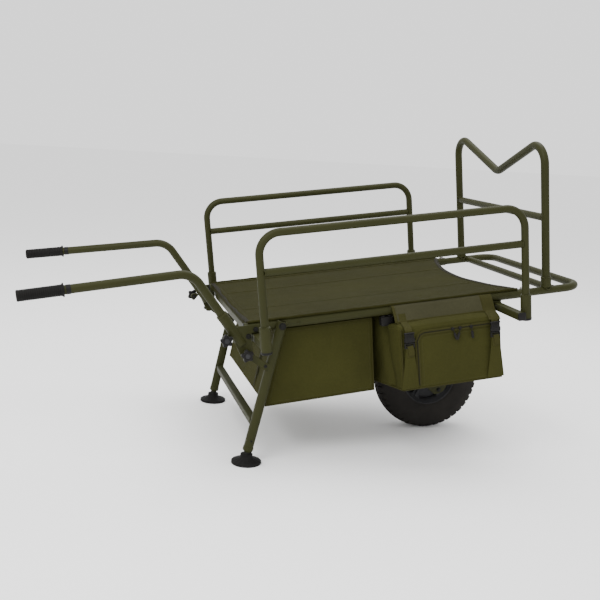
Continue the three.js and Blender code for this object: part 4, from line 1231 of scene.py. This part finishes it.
for name, edge, shift in (("rear", np.full(80, rear_x), 1), ("front", front_edge(y), -1)):
    line, tangents = headed(deck_line(edge, y, 0.1))
    outline = rounded(3.6, 15, 1.6, 5)
    rings = rings_on((line + np.array([shift * 5.5, 0, 0]), tangents), [(k, 0, outline) for k in range(80)],
                     (0, 0, 1))
    length = np.concatenate([[0], np.cumsum(np.linalg.norm(np.diff(line, axis=0), axis=1))]) / 1000
    uv = np.stack(np.broadcast_arrays(outline[None, :, 1] / 1000, length[:, None]), -1).reshape(-1, 2)
    add(f"deck_{name}_binding", stack(rings), tape_black, "deck_fabric", (), 50, uv)
2 * half_y / 1000
(corner_x - rear_x) / 1000
2 * half_y * ((middle_x - rear_x) + (corner_x - middle_x) / 3) / 1e6

# ---- bag under the deck -------------------------------------------------------------------------
low, high = span("under_bag")
bag_half = high[1] - 3
UNDER = [(14, -282), (395, -279), (399, -26), (91, -26)]


def under_hull(c):
    flat = bilinear(c[:, 0], c[:, 2], UNDER)
    return np.column_stack([flat[:, 0], c[:, 1] * bag_half, flat[:, 1]])


points, cube, mesh_faces = soft_box(under_hull, (150, bag_half, 127), 9, 60)
near = np.clip(np.abs(cube[:, 1]) * 40 - 39, 0, 1)
ends = np.clip(np.abs(cube[:, 0]) * 40 - 39, 0, 1)
middle_of = lambda a, b: (1 - cube[:, a] ** 2) * (1 - cube[:, b] ** 2)
crease = folds(points, 150, 6, 4) - 0.35
points[:, 1] += np.sign(cube[:, 1]) * near * middle_of(0, 2) * (3.0 + 9.0 * crease)
points[:, 0] += np.sign(cube[:, 0]) * ends * middle_of(1, 2) * (5.0 * np.where(cube[:, 0] < 0, -1.6, 1)
                                                                + 12.0 * (folds(points, 110, 6, 8) - 0.35))
points[:, 2] -= np.clip(-cube[:, 2] * 40 - 39, 0, 1) * middle_of(0, 1) * 4.0
under_piece = hang(lay_threads(body_mesh("under_bag_cloth", points, mesh_faces, 180)), bag_cloth, "under_bag",
                   "under_bag")


def under_edge(sx, sy, sz, count=40):
    """A line along one edge of the bag: one part of c runs from -1 to 1, given as None."""
    t = np.linspace(-0.985, 0.985, count)
    c = np.column_stack([t if v is None else np.full(count, v) for v in (sx, sy, sz)])
    return under_hull(c)


for side, s in SIDES:
    for name, edge in (("bottom", (None, s, -1)), ("front", (1, s, None)), ("rear", (-1, s, None)),
                       ("top", (None, s, 1))):
        line = under_edge(*edge)
        inward_z = {"bottom": 3.0, "top": -3.0}.get(name, 0)
        inward_x = {"front": -3.0, "rear": 3.0}.get(name, 0)
        line = line + np.array([inward_x, -s * 1.6, inward_z])
        lay_tape(f"{side}_under_bag_{name}_welt", headed(line), 6.5, 4.2, (0, 1, 0), tape_olive, "under_bag")
        inner_line = line + np.array([inward_x * 3.6, s * 2.0, inward_z * 3.6])
        stitches(f"{side}_under_bag_{name}_stitch", inner_line[2:-2], (0, s, 0), "under_bag", 5.2)
t = np.linspace(0.92, -0.92, 50)
rear_panel = under_hull(np.column_stack([np.full(50, -1.0), np.full(50, -0.40), t]))
zipper("under_bag_zip", rear_panel + np.array([2.5, 0, 0]), (-0.96, 0, 0.28), "under_bag", 18)
puller("under_bag_puller", rear_panel[30] + np.array([1, 0, 0]), (-0.96, 0, 0.28), (0.25, 0, -0.97),
       "under_bag")
for side, s in SIDES:
    block = together(slab((420, s * 336, -55), (462, s * 362, -24), 3),
                     slab((424, s * 340, -24), (436, s * 358, -19.7), 1),
                     slab((446, s * 340, -24), (458, s * 358, -19.7), 1))
    add(f"{side}_bag_clamp", block, black_plastic, "under_bag")

# ---- side bag -----------------------------------------------------------------------------------
low, high = span("side_bag")
bag_x0, bag_x1 = low[0] + 3, high[0] - 3
SECTION = [(-438.5, -262), (-250, -266), (-246, -52),
           (-428, -50)]  # (y, z): outer low, inner low, inner high, outer high


def pouch_hull(c):
    flat = bilinear(c[:, 1], c[:, 2], SECTION)
    slant = 52 * np.clip(-c[:, 0], 0, 1) * (1 + c[:, 1]) / 2
    return np.column_stack([(bag_x0 + bag_x1) / 2 + c[:, 0] * (bag_x1 - bag_x0) / 2 - slant, flat])


points, cube, mesh_faces = soft_box(pouch_hull, ((bag_x1 - bag_x0) / 2, 92, 106), 11, 64)
outer = np.clip(-cube[:, 1] * 40 - 39, 0, 1)
ends = np.clip(np.abs(cube[:, 0]) * 40 - 39, 0, 1)
x, z = cube[:, 0], cube[:, 2]
panel = (1 - x ** 2) * (1 - z ** 2)
drape = 9 * (folds(points, 120, 7, 11)
             - 0.3) + 5 * np.sin((points[:, 0] - points[:, 2] * 0.9) / 46) * np.exp(-((x - 0.45) / 0.5) ** 2
                                                                                    - ((z - 0.45) / 0.6) ** 2)
points[:, 1] -= outer * (panel * (4.0 + drape * 0.8)
                         + 3.0 * np.exp(-((z + 0.94) / 0.07) ** 2) * (1 - x ** 2) ** 0.3)
points[:, 2] += np.clip(z * 40 - 39, 0,
                        1) * 13 * np.exp(-((points[:, 1] + 392) / 26) ** 2) * (1 - x ** 2) ** 0.25
points[:, 2] += 26 * np.clip(z * 6 - 5, 0, 1) * np.clip(-x * 5 - 3.6, 0,
                                                        1) * np.clip(cube[:, 1] * 2 + 0.4, 0, 1)
gusset = (1 - cube[:, 1] ** 2) ** 0.6 * (1 - z ** 2) ** 0.5
tuck = np.exp(-((cube[:, 1] + 0.25 - 0.2 * z) / 0.16) ** 2) * 13 + 3 * np.sin(cube[:, 1] * 5 + z * 2)
tuck = tuck + 7 * (folds(points, 120, 6, 15) - 0.35)
points[:, 0] -= np.sign(x) * ends * gusset * np.maximum(tuck, -6)
pouch = hang(lay_threads(body_mesh("side_bag_cloth", points, mesh_faces, 180)), bag_cloth, "side_bag",
             "side_bag")


def panel_line(x0, z0, x1, z1, count=40, out=1.0):
    """A line on the outer panel between two places given as deck x and panel height."""
    x, z = np.linspace(x0, x1, count), np.linspace(z0, z1, count)
    y = np.interp(z, (-262, -50), (-438.5, -428.0))
    bulge = (1 - ((x - bag_x0) * 2 / (bag_x1 - bag_x0) - 1) ** 2) * (1 - ((z + 156) / 106) ** 2).clip(0) * 5.5
    return np.stack([x, y - out - bulge, z], 1)


for name, line in (("bottom", panel_line(bag_x0 + 2, -257, bag_x1 - 2, -257)),
                   ("rear", panel_line(bag_x0 + 3, -257, bag_x0 + 3, -56)),
                   ("front", panel_line(bag_x1 - 3, -257, bag_x1 - 3, -56))):
    lay_tape(f"side_bag_{name}_welt", headed(line), 7.5, 5.0, (0, 1, 0), tape_olive, "side_bag")
inner_bottom = np.column_stack([np.full(30, bag_x0 + 3), np.linspace(-438, -256, 30),
                                np.linspace(-258, -262, 30)])
for k, x in enumerate((bag_x0 + 2, bag_x1 - 2)):
    line = inner_bottom.copy()
    line[:, 0] = x - (52 * (line[:, 1] + 438) / 190 if k == 0 else 0)
    welt = straight(line, unit(line[-1] - line[0]))
    lay_tape(f"side_bag_base_welt_{k}", welt, 7, 5, (1, 0, 0), tape_olive, "side_bag")
zip_x, zip_top = bag_x0 + 56, -74
vertical = panel_line(zip_x, -246, zip_x, -96, 30, 1.6)
corner_bend = np.concatenate([vertical, panel_line(zip_x + 16, zip_top, bag_x1 - 34, zip_top + 2, 30, 1.6),
                              panel_line(bag_x1 - 27, zip_top - 12, bag_x1 - 26, -240, 30, 1.6)])
zipper("pocket_zip", corner_bend, (0, -1, 0.05), "side_bag", 16)
flat = panel_line(zip_x + 17, -246, zip_x + 17, -92, 30, 1.8)
stitches("pocket_stitch_rear", flat, (0, -1, 0), "side_bag", 5)
stitches("pocket_stitch_top", panel_line(zip_x + 20, zip_top - 15, bag_x1 - 40, zip_top - 14, 50, 2.2),
         (0, -1, 0), "side_bag", 5)
stitches("pocket_stitch_base", panel_line(bag_x0 + 10, -248, bag_x1 - 10, -248, 50, 2.2), (0, -1, 0),
         "side_bag", 5)
for k, (x, lean) in enumerate(((zip_x + 124, 0.35), (zip_x + 150, -0.3), (zip_x + 190, 0.1))):
    place = panel_line(x, zip_top + 1, x + 1, zip_top + 1, 2, 2.0)[0]
    puller(f"pocket_puller_{k}", place, (0, -1, 0), (0, 0, -1), "side_bag", lean)

# ---- flap over the side bag ---------------------------------------------------------------------
low, high = span("side_bag_flap")
flap_x0, flap_x1 = low[0], high[0] - 38
profile = smooth([(0, -361, 10.5), (0, -368, 6), (0, -376, -5), (0, -385, -19), (0, -393, -33),
                  (0, -397, -39.5)], 34)[0]
along, across = np.meshgrid(np.linspace(flap_x0, flap_x1, 61), np.arange(34), indexing="ij")
points = np.stack([along, profile[across, 1], profile[across, 2]], -1)
fraction = across / 33
wave = np.sin(along / 27 + fraction * 2) * 0.7 + np.sin(along / 61) * 1.2
points[..., 2] += (wave - 1.2) * np.sin(fraction * math.pi) ** 0.8 * 1.2
points[..., 1] -= wave * fraction ** 3 * 1.1
lip = points[:, -1].copy()
points = points.reshape(-1, 3)
mesh_faces = upward(points, lattice(61, 34, False))
length = np.concatenate([[0], np.cumsum(np.linalg.norm(np.diff(profile, axis=0), axis=1))])
uv = np.stack([along, length[across]], -1).reshape(-1, 2) / 1000
flap = body_mesh("side_bag_flap_cloth", points, mesh_faces, 70, uv, closed=False)
hang(flap, flap_cloth, "side_bag_flap", "side_bag_flap")
thick = flap.modifiers.new("thickness", "SOLIDIFY")
thick.thickness, thick.offset = 0.0016, 0.0
for name, line in (("lip", lip), ("rear", points.reshape(61, 34, 3)[0]),
                   ("front", points.reshape(61, 34, 3)[-1])):
    across_way = (0, 0.2, 1) if name == "lip" else (1, 0, 0)
    lay_tape(f"side_bag_flap_{name}_binding", headed(line), 10, 4.0, across_way,
                              tape_olive, "side_bag_flap")
stitch_line = points.reshape(61, 34, 3)[2:-2, -6] + np.array([0, -1.2, 0.6])
stitches("side_bag_flap_stitch", stitch_line, unit((0, -0.8, 0.5)), "side_bag_flap", 5)
(flap_x1 - flap_x0) / 1000

# ---- webbing and buckles ------------------------------------------------------------------------
for node, lean in (("rear_buckle", -1), ("front_buckle", 1)):
    low, high = span(node)
    x, z = (low[0] + high[0]) / 2, (low[2] + high[2]) / 2
    upper = [(x, -384, -14.5), (x, -395, -33), (x, -408, -42), (x, -428, -48), (x, -440, -57), (x, -443, -68),
             (x, -441.5, z + 13)]
    add_tape(node + "_upper_strap", upper, 24, 1.6, (1, 0, 0), tape_olive, "side_bag_flap")
    lower = [(x, -441, z - 12), (x, -445.5, z - 24), (x, -448.5, z - 40), (x, -449.5, z - 58)]
    add_tape(node + "_lower_strap", lower, 23, 1.6, (1, 0, 0), tape_olive, "side_bag")
    tail = [(x + 2, -447, z - 20), (x + 4, -451, z - 36), (x + 5, -451.5, z - 52)]
    add_tape(node + "_tail", tail, 20, 1.4, (1, 0, 0), tape_olive, "side_bag", 24)
    rows = np.linspace(z - 26, -254, 36)
    middle = np.stack([np.full(36, x),
                       np.interp(rows, (-258, -200, -150, -110, -50), (-441.5, -445, -447, -445, -436)),
                       rows], 1)
    widths = np.interp(rows, (-254, z - 26), (60.0, 26.0))
    outlines = [rounded(width, 3.4, 1.5, 4) for width in widths]
    rings = rings_on(headed(middle), [(k, 0, outline) for k, outline in enumerate(outlines)], (1, 0, 0))
    uv = np.concatenate([np.column_stack([outline[:, 0], np.full(len(outline), row)])
                         for outline, row in zip(outlines, rows)]) / 1000
    add(node + "_wedge", stack(rings), bag_cloth, "side_bag", (), 50, uv)
    side_release(node + "_body", (x, -441.8, z), (0, -1, 0), node)
band = [(790, -363, 10.5), (790, -370, 5.5), (790, -378, -5), (790, -395, -34), (789, -410, -43),
        (788, -428, -49), (787, -440, -58)]
add_tape("front_band", band, 40, 2.0, (1, 0, 0), tape_olive, "side_bag_flap")

# ---- floor, light and camera --------------------------------------------------------------------
floor_graph = Graph("pale_floor")
floor_material = floor_graph.finish((0.93, 0.93, 0.93, 1.0), 0.9, Specular_IOR_Level=0.0)
floor_mesh = bpy.data.meshes.new("floor")
floor_mesh.from_pydata([(-30, -30, 0), (30, -30, 0), (30, 30, 0), (-30, 30, 0)], [], [(0, 1, 2, 3)])
floor_mesh.materials.append(floor_material)
floor = bpy.data.objects.new("floor", floor_mesh)
bpy.context.collection.objects.link(floor)

sky = bpy.data.worlds.new("studio")
sky.use_nodes = True
sky.node_tree.nodes["Background"].inputs["Color"].default_value = (1.0, 1.0, 1.0, 1.0)
sky.node_tree.nodes["Background"].inputs["Strength"].default_value = 1.5
bpy.context.scene.world = sky


def soft_light(name, at, toward, size, power):
    lamp = bpy.data.lights.new(name, "AREA")
    lamp.shape, lamp.size, lamp.energy = "DISK", size, power
    piece = bpy.data.objects.new(name, lamp)
    piece.location = at
    piece.rotation_euler = (Vector(toward) - Vector(at)).to_track_quat("-Z", "Y").to_euler()
    bpy.context.collection.objects.link(piece)


soft_light("key", (-2.2, -2.6, 3.6), (0, 0, 0.4), 2.4, 150)
soft_light("top", (0.8, 0.6, 3.8), (0.1, 0, 0.3), 3.0, 110)

CAMERA_AT = (-519.5, -3132.0, 693.9)
RIGHT, DOWN, FORWARD = (0.9664, -0.2486, -0.0661), (-0.1161, -0.1923, -0.9744), (0.2295, 0.9493, -0.2147)
camera = bpy.data.cameras.new("camera")
camera.sensor_width, camera.lens = 36.0, 54.84
eye = bpy.data.objects.new("camera", camera)
basis = np.eye(4)
basis[:3, 0], basis[:3, 1], basis[:3, 2] = unit(RIGHT) @ AXES, -unit(DOWN) @ AXES, -unit(FORWARD) @ AXES
basis[:3, 3] = world(CAMERA_AT)
eye.matrix_world = Matrix(basis.tolist())
bpy.context.collection.objects.link(eye)
bpy.context.scene.camera = eye
